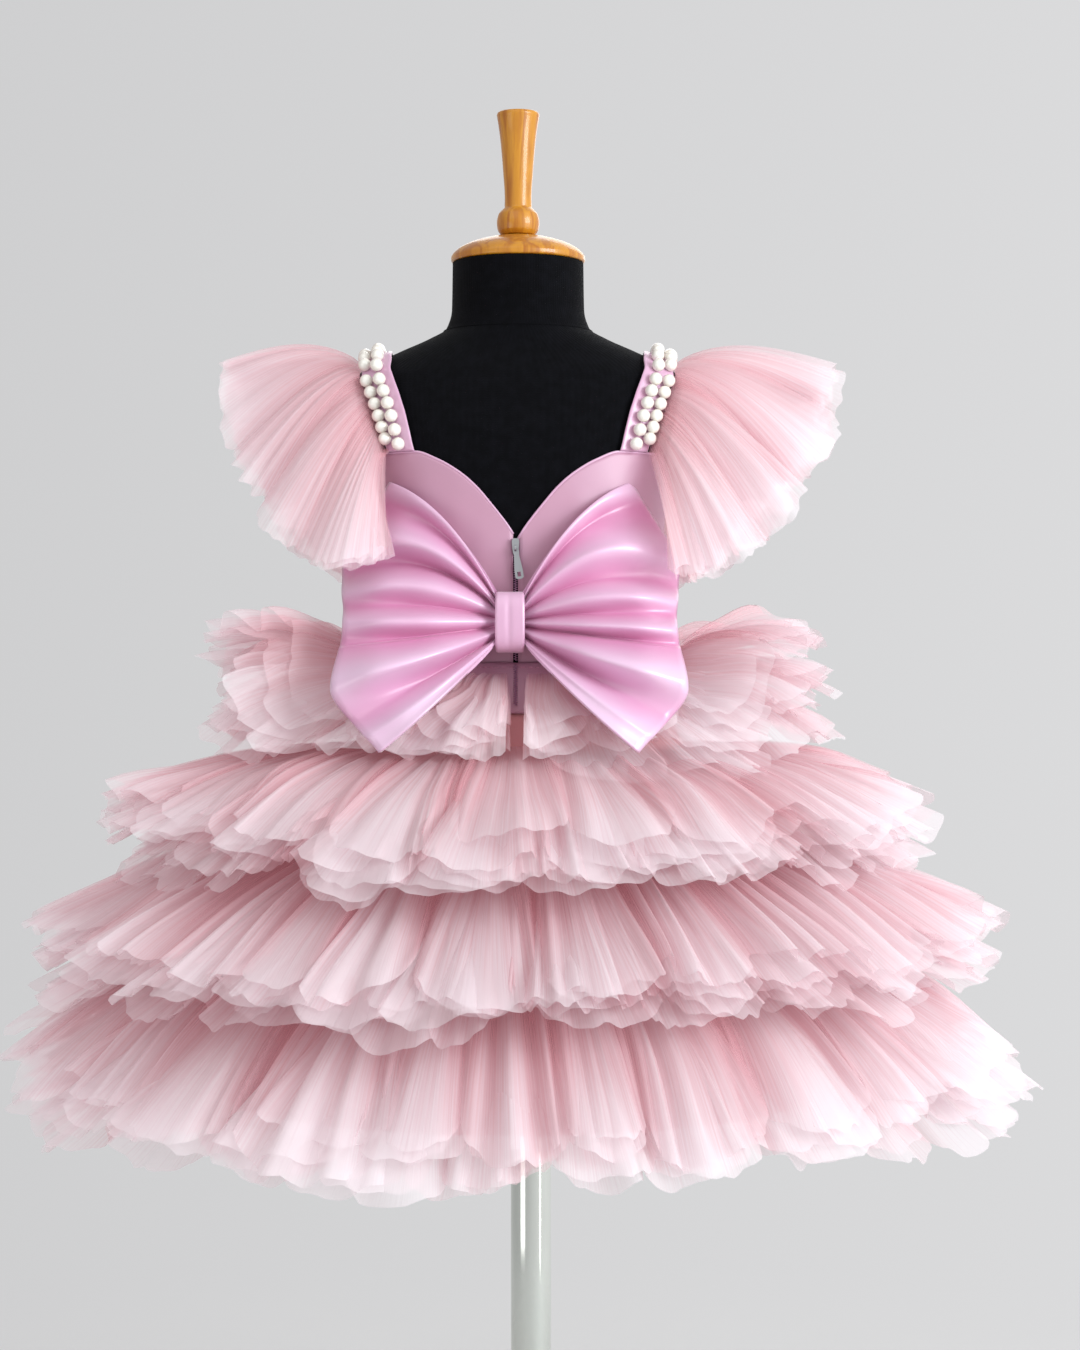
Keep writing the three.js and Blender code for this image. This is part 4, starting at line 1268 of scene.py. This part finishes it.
@dataclass
class ZipFastener(Assembly):
    """The centre back zip: two lengths of interlocking teeth, a slider and its pull tab."""

    form: DressForm
    skirt: Skirt
    x: float = -0.9
    pitch: float = 1.35
    tooth_radius: float = 0.36
    # How far across and how deep a tooth starts, turns and ends
    tooth: tuple[tuple[float, float], ...] = ((-0.25, 0.0), (0.5, -0.16), (1.12, 0.1))

    def teeth(self, body: OvalBody, out: float, knots: np.ndarray, foot: float, top: float) -> list[Patch]:
        """Lays short rounded bars across the zip in turn from the left and from the right.

        Args:
            body: What the coil lies on.
            out: How far outside it the coil's outer side is.
            knots: The heights between which the coil is straight.
            foot: The lowest tooth's height.
            top: The highest tooth's height.

        Returns:
            One small bar for each tooth.
        """
        z = np.arange(foot + 0.5, top - 0.3, self.pitch / 2)
        y = 0.62 - np.interp(z, knots, table_at(body.sections, knots)[1] + out)
        side = np.where(np.arange(len(z)) % 2 == 0, 1.0, -1.0)
        bars = [stacked(self.x + x * side, y + depth, z) for x, depth in self.tooth]
        return [tube_along(np.array(bar), self.tooth_radius, 6) for bar in zip(*bars)]

    def build(self) -> None:
        """Makes both lengths of teeth and dresses the slider and the tab."""
        upper = self.teeth(self.form, 2.3, np.linspace(600, 690, 12), 608.4, 679.0)
        lower = self.teeth(self.skirt, 1.8, np.linspace(575, 612, 8), 582.0, 607.0)
        self.room.piece("zip_teeth", upper, Finish.COIL, ("zip_coil",))
        self.room.piece("zip_teeth_foot", lower, Finish.COIL, ("zip_coil_foot",))
        self.room.dress_node("zip_slider", Finish.STEEL)
        self.room.dress_node("zip_pull_tab", Finish.STEEL)


@dataclass(frozen=True)
class SleeveLayer:
    """One gathered layer of a sleeve: its folds, how far it lies below the upper one, and its length."""

    name: str
    index: int
    swing: float
    sunk: float
    sunk_at_seam: float
    length: float


@dataclass
class Shoulders(Assembly):
    """The two satin straps with their pearls, and the flutter sleeves sewn along them.

    The tables hold how far out, how deep and how high points lie, from the back to the shoulder.
    """

    form: DressForm
    strap_width: float = 20.0
    strap_wall: float = 1.6
    strap_gap: float = 1.5
    pearl_radius: float = 4.1
    pearl_sunk: float = 0.4
    pearl_rows: tuple[float, float] = (-2.6, 6.0)  # from the strap's middle line
    pearl_steps: int = 44
    puff: float = 12.0
    fold: float = 4.2
    gathers: tuple[int, int, int] = (8, 19, 44)  # fans, folds and pleats
    seam_out: float = 0.6  # of a sleeve's seam from the strap's edge, and above its middle
    sheets: int = 2  # in each layer of a sleeve
    layers: tuple[SleeveLayer, ...] = (
        SleeveLayer("upper", 0, 10.5, 0.0, 0.0, 1.0),
        SleeveLayer("under", 1, 6.5, 14.5, 3.1, 0.92),
    )
    path: np.ndarray = table(
        (69.5, 55.6, 734.1), (74, 50.5, 752), (80, 40.5, 772), (85.5, 23, 791), (87.5, 0, 797.8)
    )
    rim_left: np.ndarray = table(
        (75, 111, 668), (112, 104, 662), (141, 84, 680), (163, 56, 703), (182, 28, 742), (189, 0, 796)
    )
    rim_right: np.ndarray = table(
        (94, 111, 655), (124, 104, 660), (150, 84, 682), (176, 56, 712), (194, 28, 745), (201, 0, 787)
    )

    @staticmethod
    def over(points: np.ndarray, side: int) -> np.ndarray:
        """Puts a table on its side, 1 for the right and -1 for the left, and mirrors it to the front."""
        back = points * [side, -1, 1]
        return np.vstack([back, back[-2::-1] * [1, -1, 1]])

    def strap_frame(self, side: int, share: np.ndarray) -> tuple[np.ndarray, np.ndarray, np.ndarray]:
        """Gives a strap's middle, its way across and its way up at shares of its length.

        The middle follows the path at even lengths and is then moved straight out from the form until its
        distance is right. The way across turns from level at the ends to square over the shoulder.

        Args:
            side: 1 for the right and -1 for the left.
            share: The shares, in a row.

        Returns:
            Three rows of vectors.
        """
        fine = curve_through(self.over(self.path, side), np.linspace(0, 1, 401))
        length = travelled(fine)
        wanted = np.clip(share, 0, 1) * length[-1]
        point, ahead, behind = (
            np.stack([np.interp(wanted + shift, length, fine[:, k]) for k in range(3)], axis=1)
            for shift in (0.0, 0.5, -0.5)
        )
        along = unit(ahead - behind)
        for _ in range(4):
            distance, way = self.form.clearance(point)
            point = point + way * (self.strap_gap + self.strap_wall / 2 - distance)[:, None]
        up = self.form.clearance(point)[1]
        square = unit(np.cross(up, along) * -side)
        level = unit(stacked(-up[:, 1], up[:, 0], 0 * up[:, 0]) * (np.sign(-up[:, 1]) * side)[:, None])
        turn = smoothstep(np.minimum(share, 1 - share), 0, 0.14)[:, None]
        return point, unit(level + (square - level) * turn), up

    def strap(self, side: int) -> Patch:
        """Lays the satin band over the shoulder, with softly rounded edges.

        Args:
            side: 1 for the right and -1 for the left.

        Returns:
            Its outer face.
        """
        share = np.linspace(0, 1, 150)
        point, across, up = (part[:, None] for part in self.strap_frame(side, share))
        out = np.linspace(-1, 1, 25)[None, :, None]
        crown = self.strap_wall / 2 + 0.35 * (1 - out**2) - 0.5 * smoothstep(np.abs(out), 0.86, 1)
        ripple = 0.12 * np.sin(share * 90)[:, None, None] * np.abs(out)
        band = point + across * out * self.strap_width / 2 + up * (crown + ripple)
        return Patch(band, centre=(side * 80.0, 0.0, 740.0))

    def pearls(self, side: int) -> list[Patch]:
        """Sews two staggered rows of pearls on a strap, each a ball that sinks a little into the satin.

        Args:
            side: 1 for the right and -1 for the left.

        Returns:
            The pearls.
        """
        turn = ring_of(14)[None, :, None]
        rise = np.linspace(0.12, math.pi - 0.12, 9)[:, None, None]
        balls = []
        for row, first in zip(self.pearl_rows, (1, 2)):
            share = np.arange(first, self.pearl_steps, 2) / self.pearl_steps
            point, across, up = self.strap_frame(side, share)
            middle = point + across * row + up * (self.strap_wall / 2 + self.pearl_radius - self.pearl_sunk)
            for m, a, b, c in zip(middle, across, np.cross(up, across), up):
                ball = (a * np.cos(turn) + b * np.sin(turn)) * np.sin(rise) + c * np.cos(rise)
                points = m + ball * self.pearl_radius
                balls.append(Patch(points, ring=True, capped=True, centre=tuple(m.tolist())))
        return balls

    def sleeve(self, side: int, layer: SleeveLayer, sheet: int) -> Patch:
        """Fans one sheet of tulle out from the strap's outer edge to its rim.

        A point lies a share t of the way from the seam to the rim, raised by a puff that is highest
        halfway, and moved along the surface's normal by its folds and finer pleats, which grow with t.

        Args:
            side: 1 for the right and -1 for the left.
            layer: Which of the gathered layers.
            sheet: Which sheet of that layer, 0 for the outer one.

        Returns:
            The sheet.
        """
        rim = self.over(self.rim_left if side < 0 else self.rim_right, side)
        share = np.linspace(0, 1, 400)
        t = np.linspace(0, 1, 18)[:, None]
        reach = t * (layer.length * (0.975 - 0.03 * sheet))
        folds = Gathers(share, self.gathers, 13.0 * (side + 3), 3 * layer.index + sheet, ring=False)
        calm = np.minimum(1, np.minimum(share, 1 - share) * 14)

        def base(s: np.ndarray) -> np.ndarray:
            """Gives the sheet before it is folded, at shares of the strap's length."""
            point, across, up = self.strap_frame(side, s)
            root = point + across * (self.strap_width / 2 + self.seam_out) + up * self.seam_out
            lift = np.sin(math.pi * reach**0.75) * self.puff
            outward = stacked(0 * s, np.sign(s - 0.5) * np.abs(np.cos(math.pi * s)), np.sin(math.pi * s))
            return root + (curve_through(rim, s) - root) * reach[..., None] + outward * lift[..., None]

        flat = base(share)
        slid = base(np.clip(share + (0.014 * folds.spread + 0.008 * folds.lean) * calm, 0, 1))
        longer = 0.06 * folds.length + 0.045 * folds.fan + 0.025 * folds.fold + 0.02 * folds.fringe
        points = flat + (slid - flat) * (1.5 * t - 0.5)[..., None]
        points = points + (slid - slid[:1]) * (longer * t**2)[..., None]
        normal = grid_normals(flat)
        away = (normal * (flat - np.array([side * 60.0, 0.0, 700.0]))).sum(-1, keepdims=True)
        normal = normal * np.sign(away)
        rise = layer.swing * folds.fan * t + self.fold * folds.fold * t + (0.2 + 0.5 * t) * folds.pleat
        drop = layer.sunk_at_seam + (layer.sunk - layer.sunk_at_seam) * t**0.7 + (1.2 + 4.5 * t) * sheet
        points = points + normal * (rise * calm - drop)[..., None]
        # The crest mask paints shade into the sleeve's folds and light onto its crests.
        return Patch(points, from_rim=True, centre=(side * 60.0, 0.0, 640.0), crest=folds.crest(t, 0.6))

    def build(self) -> None:
        """Makes both straps with their pearls, and all sheets of both sleeves."""
        for side, label in SIDES:
            band = self.strap(side)
            node = f"strap_{label}"
            strap = self.room.piece(f"satin_{node}", [band], Finish.SATIN, (node,), self.strap_wall)
            pearls = self.room.piece(f"pearls_{label}", self.pearls(side), Finish.PEARL)
            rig.sheet(strap, flat=(0.021, 0.235), held="draped", rests_on=["form_body"], with_pieces=[pearls])
            for layer in self.layers:
                node = f"sleeve_{label}_{layer.name}"
                for sheet in range(self.sheets):
                    patch = self.sleeve(side, layer, sheet)
                    piece = self.room.piece(f"{node}_sheet_{sheet + 1}", [patch], Finish.TULLE, (node,))
                    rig.sheet(piece, held="gathered", rests_on=[f"satin_strap_{label}"], **patch.cut())


@dataclass(frozen=True)
class Ruffle:
    """One gathered layer of a tier: the height of its seam, and its middle and rim to the side."""

    name: str
    seam_z: float
    mid_r: float
    mid_z: float
    rim_r: float
    rim_z: float
    # Depth and height of its middle and its rim behind, where the bow presses it flat
    flat: tuple[float, float, float, float] | None = None


@dataclass
class Tiers(Assembly):
    """The four tiers of tulle, each of two gathered layers made of several thin sheets."""

    skirt: Skirt
    wall: float = 1.8
    seat: float = 0.45
    depth_share: float = 0.93
    droop: float = 12.0
    pitches: tuple[float, float, float] = (70.0, 24.0, 10.5)  # of fans, folds and pleats, along the rim
    swing: float = 16.0  # of a fan, outwards
    fold: float = 8.0
    curl: float = 10.0
    hang: float = 0.4  # how far a fan's crest hangs, as a share of how far it stands out
    lowest_hang: float = 12.0  # of the lowest sheet at the sides
    spread: float = 10.5  # of a fan's crest along the rim, to both sides
    lean: float = 12.0  # of a fan along the rim, to one side
    apart: float = 1.2  # of the sheets of one layer
    sheets: int = 3
    slit: float = 3.4 / 92  # half the parting at the seam, in radians
    columns: int = 900
    rows: int = 14
    ruffles: tuple[Ruffle, ...] = (
        Ruffle("tier_1_upper", 601, 140, 630, 190, 631, (108, 592, 131, 575)),
        Ruffle("tier_1_lower", 594, 142, 592, 196, 565, (104, 578, 127, 559)),
        Ruffle("tier_2_upper", 558, 185, 543, 257, 528),
        Ruffle("tier_2_lower", 551, 175, 524, 250, 489),
        Ruffle("tier_3_upper", 511, 215, 480, 300, 449),
        Ruffle("tier_3_lower", 503, 200, 459, 288, 417),
        Ruffle("tier_4_upper", 455, 238, 414, 313, 362),
        Ruffle("tier_4_lower", 447, 225, 386, 297, 341),
    )

    def seat_of(self, ruffle: Ruffle) -> list[float]:
        """Gives half width, half depth and squareness of the skirt at a layer's seam."""
        return [float(value) for value in table_at(self.skirt.sections, ruffle.seam_z - self.wall)]

    def press(self, ruffle: Ruffle, angle: np.ndarray) -> np.ndarray:
        """Says how far a layer lies flat under the bow: 1 at the back, 0 from the sides on."""
        pressed = 1 - smoothstep(np.abs(angle), math.radians(40), math.radians(62))
        return pressed if ruffle.flat else np.zeros_like(angle)

    def base(self, ruffle: Ruffle, angle: np.ndarray, t: np.ndarray) -> np.ndarray:
        """Gives half width, half depth and height of a layer before it is folded.

        The width and height follow a parabola from the seam to the rim. The depth passes from the skirt's
        oval to a share of the width, and near the bow to the layer's pressed table. The rim hangs lower at
        the back and front, by the square of the angle's cosine.

        Args:
            ruffle: The layer.
            angle: How far round from the back centre, from minus to plus half a turn.
            t: The share of the way from the seam to the rim.

        Returns:
            The three values at each place, one after another.
        """
        seat_a, seat_b, _ = self.seat_of(ruffle)
        mid_r, mid_z, rim_r, rim_z = ruffle.flat or (ruffle.mid_r, ruffle.mid_z, ruffle.rim_r, ruffle.rim_z)
        leave = math.hypot(mid_r - (seat_b if ruffle.flat else seat_a), mid_z - ruffle.seam_z)
        out = self.seat + max(0.0, ruffle.seam_z - mid_z) / leave * self.wall
        a = bend(seat_a + out, ruffle.mid_r, ruffle.rim_r, t)
        share = seat_b / seat_a + (self.depth_share - seat_b / seat_a) * t
        ease = np.minimum(1, 3 * t)
        b = (seat_b + out) * (1 - ease) + a * share * ease
        droop = self.droop * np.cos(angle) ** 2 * np.abs(t) ** 1.5
        z = bend(ruffle.seam_z, ruffle.mid_z, ruffle.rim_z, t) - droop
        press = self.press(ruffle, angle)
        b = b * (1 - press) + bend(seat_b + out, mid_r, rim_r, t) * press
        z = z * (1 - press) + bend(ruffle.seam_z, mid_z, rim_z, t) * press
        return np.stack(np.broadcast_arrays(a, b, z))

    def sheet(self, tier: int, sheet: int) -> Patch:
        """Gathers one sheet of a tier.

        The sheets of a tier are spread from its upper layer to its lower one, come closer together towards
        the rim, and wander between them. A point of a sheet is moved along the layer's normal by its folds
        and pleats, which grow towards the rim, outwards by its fans, and along the rim, so that a fan is
        pinched at the seam and spreads over its neighbours at the rim. A parted tier tumbles under the bow.

        Args:
            tier: Which tier, counted from 0.
            sheet: Which of its sheets, 0 for the uppermost one.

        Returns:
            The sheet.
        """
        pair = self.ruffles[2 * tier : 2 * tier + 2]
        level = sheet / (2 * self.sheets - 1)
        own = pair[sheet // self.sheets]
        parted = own.flat is not None
        rim = TURN * own.rim_r * 0.96
        counts = tuple(round(rim / pitch) for pitch in self.pitches)
        share = np.linspace(0, 1, self.columns, endpoint=parted)[None, :]
        t = np.linspace(0, 1, self.rows)[:, None] ** 0.9
        folds = Gathers(share, counts, 17.0 * tier, sheet, ring=not parted)
        from_edge = np.minimum(share, 1 - share) * rim
        along = self.spread * folds.spread * (1.6 * t - 0.6) + self.lean * folds.lean * t
        if parted:
            at_rim = (3 + 7 * unevenness(sheet * 3.1)) / own.rim_r
            gap = self.slit + (at_rim - self.slit) * t
            angle = gap + (share + along / rim * np.minimum(1, from_edge / 24)) * (TURN - 2 * gap)
        else:
            angle = (share + along / rim) * TURN
        folded = np.where(angle > math.pi, angle - TURN, angle)
        behind = np.cos(folded) ** 2
        closer = (0.4 - 0.5 * level) * behind + 0.14 * wander(share, 9, 31.0 * sheet + tier, not parted)
        sink = np.clip(level + closer * t, 0, 1)
        press = self.press(own, folded)
        longer = 0.07 * folds.length + 0.035 * folds.fan + 0.02 * folds.fold + 0.016 * folds.fringe
        tumble = press * (0.17 * level + 0.14 * folds.length + 0.1 * folds.fan)
        reach = t * (0.91 + longer + tumble)

        def between(at: np.ndarray) -> np.ndarray:
            """Mixes the bases of the tier's two layers at a share of the way to the rim."""
            upper, lower = (self.base(layer, folded, at) for layer in pair)
            share_out = np.clip(at, 0, 1)
            lift = (0.0 if parted else 7.0 - 5.0 * level) * np.sin(math.pi * share_out)
            hang = self.lowest_hang * level**2 * (1 - behind) * share_out**2
            return upper + (lower - upper) * sink + UP[:, None, None] * (lift - hang)

        a, b, z = between(reach)
        run, _, rise = between(np.clip(t + 0.02, 0, 1)) - between(np.clip(t - 0.02, 0, 1))
        size = np.hypot(run, rise)
        sideways, upwards = -rise / size, run / size
        outward = self.swing * folds.fan * t**1.2 * (1 - 0.5 * press)
        move = self.fold * folds.fold * t**0.8 + self.curl * folds.curl * smoothstep(t, 0.6, 1)
        if parted:
            edge = np.exp(-from_edge / 38)
            move = move + (9.0 - 4.0 * level) * edge * t**1.5 * np.cos(6.0 * t + sheet)
        move = move * (1 - 0.4 * press) + (0.5 + 1.3 * t) * folds.pleat - self.apart * (sheet % self.sheets)
        power = 2 + (self.seat_of(own)[2] - 2) * (1 - np.minimum(1, 2 * t))
        x, y = oval(angle, a + outward + sideways * move, b + outward + sideways * move, power)
        points = stacked(x, y, z + upwards * move - self.hang * outward)
        middle = (0.0, 0.0, own.seam_z - 200.0)
        # The crest mask paints shade into the sheet's folds and light onto its crests.
        return Patch(points, ring=not parted, from_rim=True, centre=middle, crest=folds.crest(t))

    def build(self) -> None:
        """Makes every sheet of every tier."""
        for tier in range(len(self.ruffles) // 2):
            for sheet in range(2 * self.sheets):
                node = self.ruffles[2 * tier + sheet // self.sheets].name
                patch = self.sheet(tier, sheet)
                name = f"{node}_sheet_{sheet % self.sheets + 1}"
                piece = self.room.piece(name, [patch], Finish.TULLE, (node,))
                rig.sheet(piece, held="gathered", rests_on=["lining_skirt"], **patch.cut())


@dataclass
class Bow(Assembly):
    """The large bow: two pleated wings of doubled satin and the band round their middle."""

    x: float = -4.0
    wall: float = 2.4
    lobe: float = 6.0  # how far the lower lobe stands out
    dent: float = 1.1
    root: tuple[float, float] = (4.0, 85.0)  # how far out and how deep the wings start
    # Against the way from the upper edge to the lower one: the height of the root, then how far out, how
    # high and how deep the middle and the rim lie
    fans: np.ndarray = table(
        (0, 638, 36, 689, 80, 73, 716, 54),
        (0.22, 635.5, 52, 667, 87, 101, 664, 62),
        (0.5, 631, 54, 632, 108, 98, 629, 98),
        (0.78, 626.5, 54, 605, 120, 103, 592, 121),
        (1, 623.5, 38, 588, 131, 74, 556, 144),
    )
    # Where the ridges and, between them, the valleys leave the knot, from the upper edge to the lower one
    ridges_right: tuple[float, ...] = (0.012, 0.055, 0.17, 0.30, 0.38, 0.46, 0.53, 0.60, 0.74, 0.87, 0.95)
    ridges_left: tuple[float, ...] = (0.012, 0.055, 0.14, 0.235, 0.33, 0.42, 0.50, 0.60, 0.75, 0.88, 0.955)
    # How high the folds are, against the way from the upper edge to the lower one
    fold_places: tuple[float, ...] = (0, 0.06, 0.17, 0.3, 0.5, 0.6, 0.75, 1)
    fold_heights: tuple[float, ...] = (0.4, 0.6, 1.1, 0.9, 0.75, 0.9, 1.3, 0.6)
    knot_width: float = 17.0
    knot_top: float = 649.0
    knot_foot: float = 613.0
    knot_depth: tuple[float, float] = (72.6, 99.5)

    def wing(self, side: int) -> Patch:
        """Folds one wing: rays from the knot to the rim, fanned by the table and pleated across.

        The pleats are sharp near the knot and soft towards the rim. The lower lobe stands out by a step, the edges are
        rolled, and the satin is dented a little between its folds. The crest mask paints shade into the valleys and
        light onto the crests and the upward-facing lower lobes.

        Args:
            side: 1 for the right and -1 for the left.

        Returns:
            Its outer face.
        """
        edge = np.linspace(0, 1, 201)[None, :]
        t = np.linspace(0, 1, 60)[:, None]
        root_z, mid_x, mid_z, mid_y, rim_x, rim_z, rim_y = table_at(self.fans, edge)
        x = side * bend(self.root[0], mid_x, rim_x, t)
        z = bend(root_z, mid_z, rim_z, t)
        y = -bend(self.root[1], mid_y, rim_y, t)
        ridges = self.ridges_right if side > 0 else self.ridges_left
        phase = math.pi * np.interp(edge, ridges, np.arange(len(ridges))) + 0.5 * np.sin(3 * t + 9 * edge) * t
        sharp = 1 - smoothstep(t, 0.15, 0.8)
        fold = sharp * (2 * np.abs(np.cos(phase / 2)) - 1.25) + (1 - sharp) * np.cos(phase)
        swing = 2.4 + 6.6 * np.sin(np.minimum(1, t * 1.8) * math.pi / 2)
        swing = swing * (1 - 0.45 * smoothstep(t, 0.6, 1))
        swing = swing * np.interp(edge, self.fold_places, self.fold_heights)
        lobe = self.lobe * smoothstep(edge, 0.592, 0.608) * (1 - smoothstep(edge, 0.62, 0.9))
        lobe = lobe * smoothstep(t, 0.08, 0.4) * (1 - 0.4 * smoothstep(t, 0.7, 1))
        dent = np.sin(7 * edge + 5 * t + side) * np.sin(11 * t - 6 * edge + 2 * side)
        dent = self.dent * dent * smoothstep(t, 0.2, 0.8)
        roll = 1.5 * bump(edge, 0.022) + 1.8 * bump(1 - edge, 0.016) + 1.6 * bump(0.945 - edge, 0.016)
        roll = roll * np.minimum(1, 4 * t) * (1 - 0.6 * t)
        turn_in = 2.0 * smoothstep(t, 0.955, 1) ** 2
        # Painted light: the lower lobes, which face up, are painted paler.
        lower = smoothstep(edge, 0.6, 0.78) * smoothstep(t, 0.2, 0.7)
        points = stacked(x + self.x, y - fold * swing - lobe - dent - roll + turn_in, z)
        # The crest mask paints shade into the wing's valleys and light onto its crests.
        crest = np.clip(0.42 + 0.34 * fold + 0.3 * lower, 0, 1)
        return Patch(points, centre=(0.0, 60.0, 630.0), crest=crest)

    def knot(self) -> Patch:
        """Wraps the band: a squarish loop with a soft crease along it and rolled edges.

        Returns:
            Its outer face.
        """
        inner, outer = self.knot_depth
        across = np.linspace(-1, 1, 41)[:, None]
        angle = ring_of(96)
        edge = smoothstep(np.abs(across), 0.86, 1)
        crease = 0.55 * bump(across + 0.08, 0.2) + 0.15 * across
        half_depth = (outer - inner) / 2 - 0.2 - crease - 0.7 * edge
        half_height = (self.knot_top - self.knot_foot) / 2 - 0.6 * edge
        y, z = oval(angle, half_depth, half_height, 3.0)
        x = across * self.knot_width / 2 * (1 - 0.03 * np.cos(angle * 2))
        middle = (self.x, -(inner + outer) / 2, (self.knot_top + self.knot_foot) / 2)
        return Patch(stacked(x, y, z) + middle, ring=True, centre=middle)

    def build(self) -> None:
        """Makes both wings and the knot."""
        for side, label in SIDES:
            name = f"satin_bow_{label}"
            wing = self.room.piece(name, [self.wing(side)], Finish.BOW, (f"bow_{label}",), self.wall)
            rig.sheet(wing, flat=(0.165, 0.115), held="gathered", rests_on=["bow_band"])
        knot = self.room.piece("bow_band", [self.knot()], Finish.SATIN, ("bow_knot",), 1.2)
        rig.sheet(knot, flat=(0.018, 0.11), held="folded", rests_on=["satin_bodice_back_left"])


# The studio


@dataclass(frozen=True)
class Lamp:
    """A soft light: where it hangs, its width and power, and how many times as high as wide it is."""

    name: str
    place: tuple[float, float, float]
    size: float
    power: float
    tint: Colour
    tall: float = 1.0


@dataclass
class Studio:
    """A pale floor, an even pale surround, soft lights and the camera, in metres but for the floor."""

    eye: tuple[float, float, float] = (0.0056, -1.7, 0.6)
    lens: float = 73.12
    aim: tuple[float, float, float] = (0.0, 0.0, 0.58)  # where the lights look
    dim_side: float = 0.46
    bright_side: float = 0.87
    floor_profile: np.ndarray = table((1400.0, -4.0), (1400.0, -0.2), (2.0, -0.2))  # radius and height
    floor_fade: tuple[float, float] = (0.12, 1.2)
    lamps: tuple[Lamp, ...] = (
        Lamp("key_light", (1.9, -1.4, 1.3), 1.2, 47.0, (0.9, 1.0, 1.02)),
        Lamp("top_light", (-0.7, -1.3, 2.1), 1.6, 5.5, (1.0, 0.98, 0.99)),
        Lamp("low_light", (-1.6, -1.5, 0.3), 1.0, 5.0, (1.0, 0.99, 0.98)),
        Lamp("rim_light", (0.4, 1.9, 1.6), 1.5, 12.0, (1.0, 0.99, 0.98)),
        Lamp("strip_light", (1.5, -1.1, 0.35), 0.07, 2.5, (1.0, 1.0, 1.0), tall=15.0),
    )

    def hang(self, lamp: Lamp) -> None:
        """Hangs a lamp that looks at the dress."""
        light = bpy.data.lights.new(lamp.name, "AREA")
        light.shape = "RECTANGLE"
        light.size = lamp.size
        light.size_y = lamp.size * lamp.tall
        light.energy = lamp.power
        light.color = lamp.tint
        holder = link(lamp.name, light)
        holder.location = lamp.place
        holder.rotation_euler = (Vector(self.aim) - Vector(lamp.place)).to_track_quat("-Z", "Y").to_euler()
        holder.visible_camera = False

    def build(self) -> None:
        """Makes the floor, the surround, the lights and the camera."""
        self.floor()
        scene = bpy.context.scene
        scene.world = bpy.data.worlds.new("studio")
        scene.world.use_nodes = True
        self.surround(scene.world.node_tree)
        for lamp in self.lamps:
            self.hang(lamp)
        camera = bpy.data.cameras.new("camera")
        camera.sensor_fit = "VERTICAL"
        camera.sensor_height = 36.0
        camera.lens = self.lens
        camera.clip_end = 50.0
        scene.camera = link("camera", camera)
        scene.camera.location = self.eye
        scene.camera.rotation_euler = (math.pi / 2, 0.0, 0.0)
        scene.view_settings.view_transform = "Standard"
        scene.cycles.transparent_max_bounces = 8
        scene.cycles.diffuse_bounces = 3

    def surround(self, tree: bpy.types.NodeTree) -> None:
        """Lights the surround evenly in height, and more from the right than from the left.

        Its brightness rises in a straight line with the x of the direction that a ray comes from.

        Args:
            tree: The world's node tree.
        """
        way = tree.nodes.new("ShaderNodeTexCoord")
        parts = tree.nodes.new("ShaderNodeSeparateXYZ")
        level = tree.nodes.new("ShaderNodeMapRange")
        ground = tree.nodes["Background"]
        tree.links.new(way.outputs["Generated"], parts.inputs["Vector"])
        tree.links.new(parts.outputs["X"], level.inputs["Value"])
        tree.links.new(level.outputs["Result"], ground.inputs["Strength"])
        bounds = {"From Min": -1.0, "From Max": 1.0, "To Min": self.dim_side, "To Max": self.bright_side}
        for key, value in bounds.items():
            level.inputs[key].default_value = value
        ground.inputs["Color"].default_value = (1.0, 1.0, 1.012, 1.0)

    def floor(self) -> None:
        """Lays a round pale floor that fades into the surround before its edge."""
        floor = link("floor", mesh_of("floor", [turned(self.floor_profile, 96, POLE_AXIS)]))
        shader = Shader("pale_floor", Roughness=0.7, Specular_IOR_Level=0.3)
        place = shader.place(Source.OBJECT)
        away = shader.node("VectorMath", {0: place}, output="Value", operation="LENGTH")
        shader.paint(shader.noise(place, 9.0), srgb(222, 221, 220), srgb(216, 215, 214))
        inner = 1.0 - away.ramp(*self.floor_fade)
        shader.drive("Alpha", inner * inner)
        floor.data.materials.append(shader.material)
        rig.stage(floor)


def corners(box: tuple[Vector, Vector]) -> list[list[float]]:
    """Writes a box's two corners as plain numbers."""
    return [[round(float(v), 5) for v in corner] for corner in box]


def main() -> None:
    """Loads the frame and builds every sub-assembly in order."""
    logging.basicConfig(level=logging.INFO, format="%(name)s: %(message)s")
    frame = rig.load()
    cad_box = corners(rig.bounds())
    Studio().build()
    room = Workroom(frame)
    form, skirt = DressForm(room), Skirt(room)
    form.build()
    Bodice(room, form, skirt).build()
    ZipFastener(room, form, skirt).build()
    Shoulders(room, form).build()
    skirt.build()
    Tiers(room, skirt).build()
    Bow(room).build()
    sizes = {"cad": cad_box, "visual": corners(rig.bounds())}
    Path("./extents.json").write_text(json.dumps(sizes))
    log.info("sizes: %s", sizes)


if __name__ == "__main__":
    main()
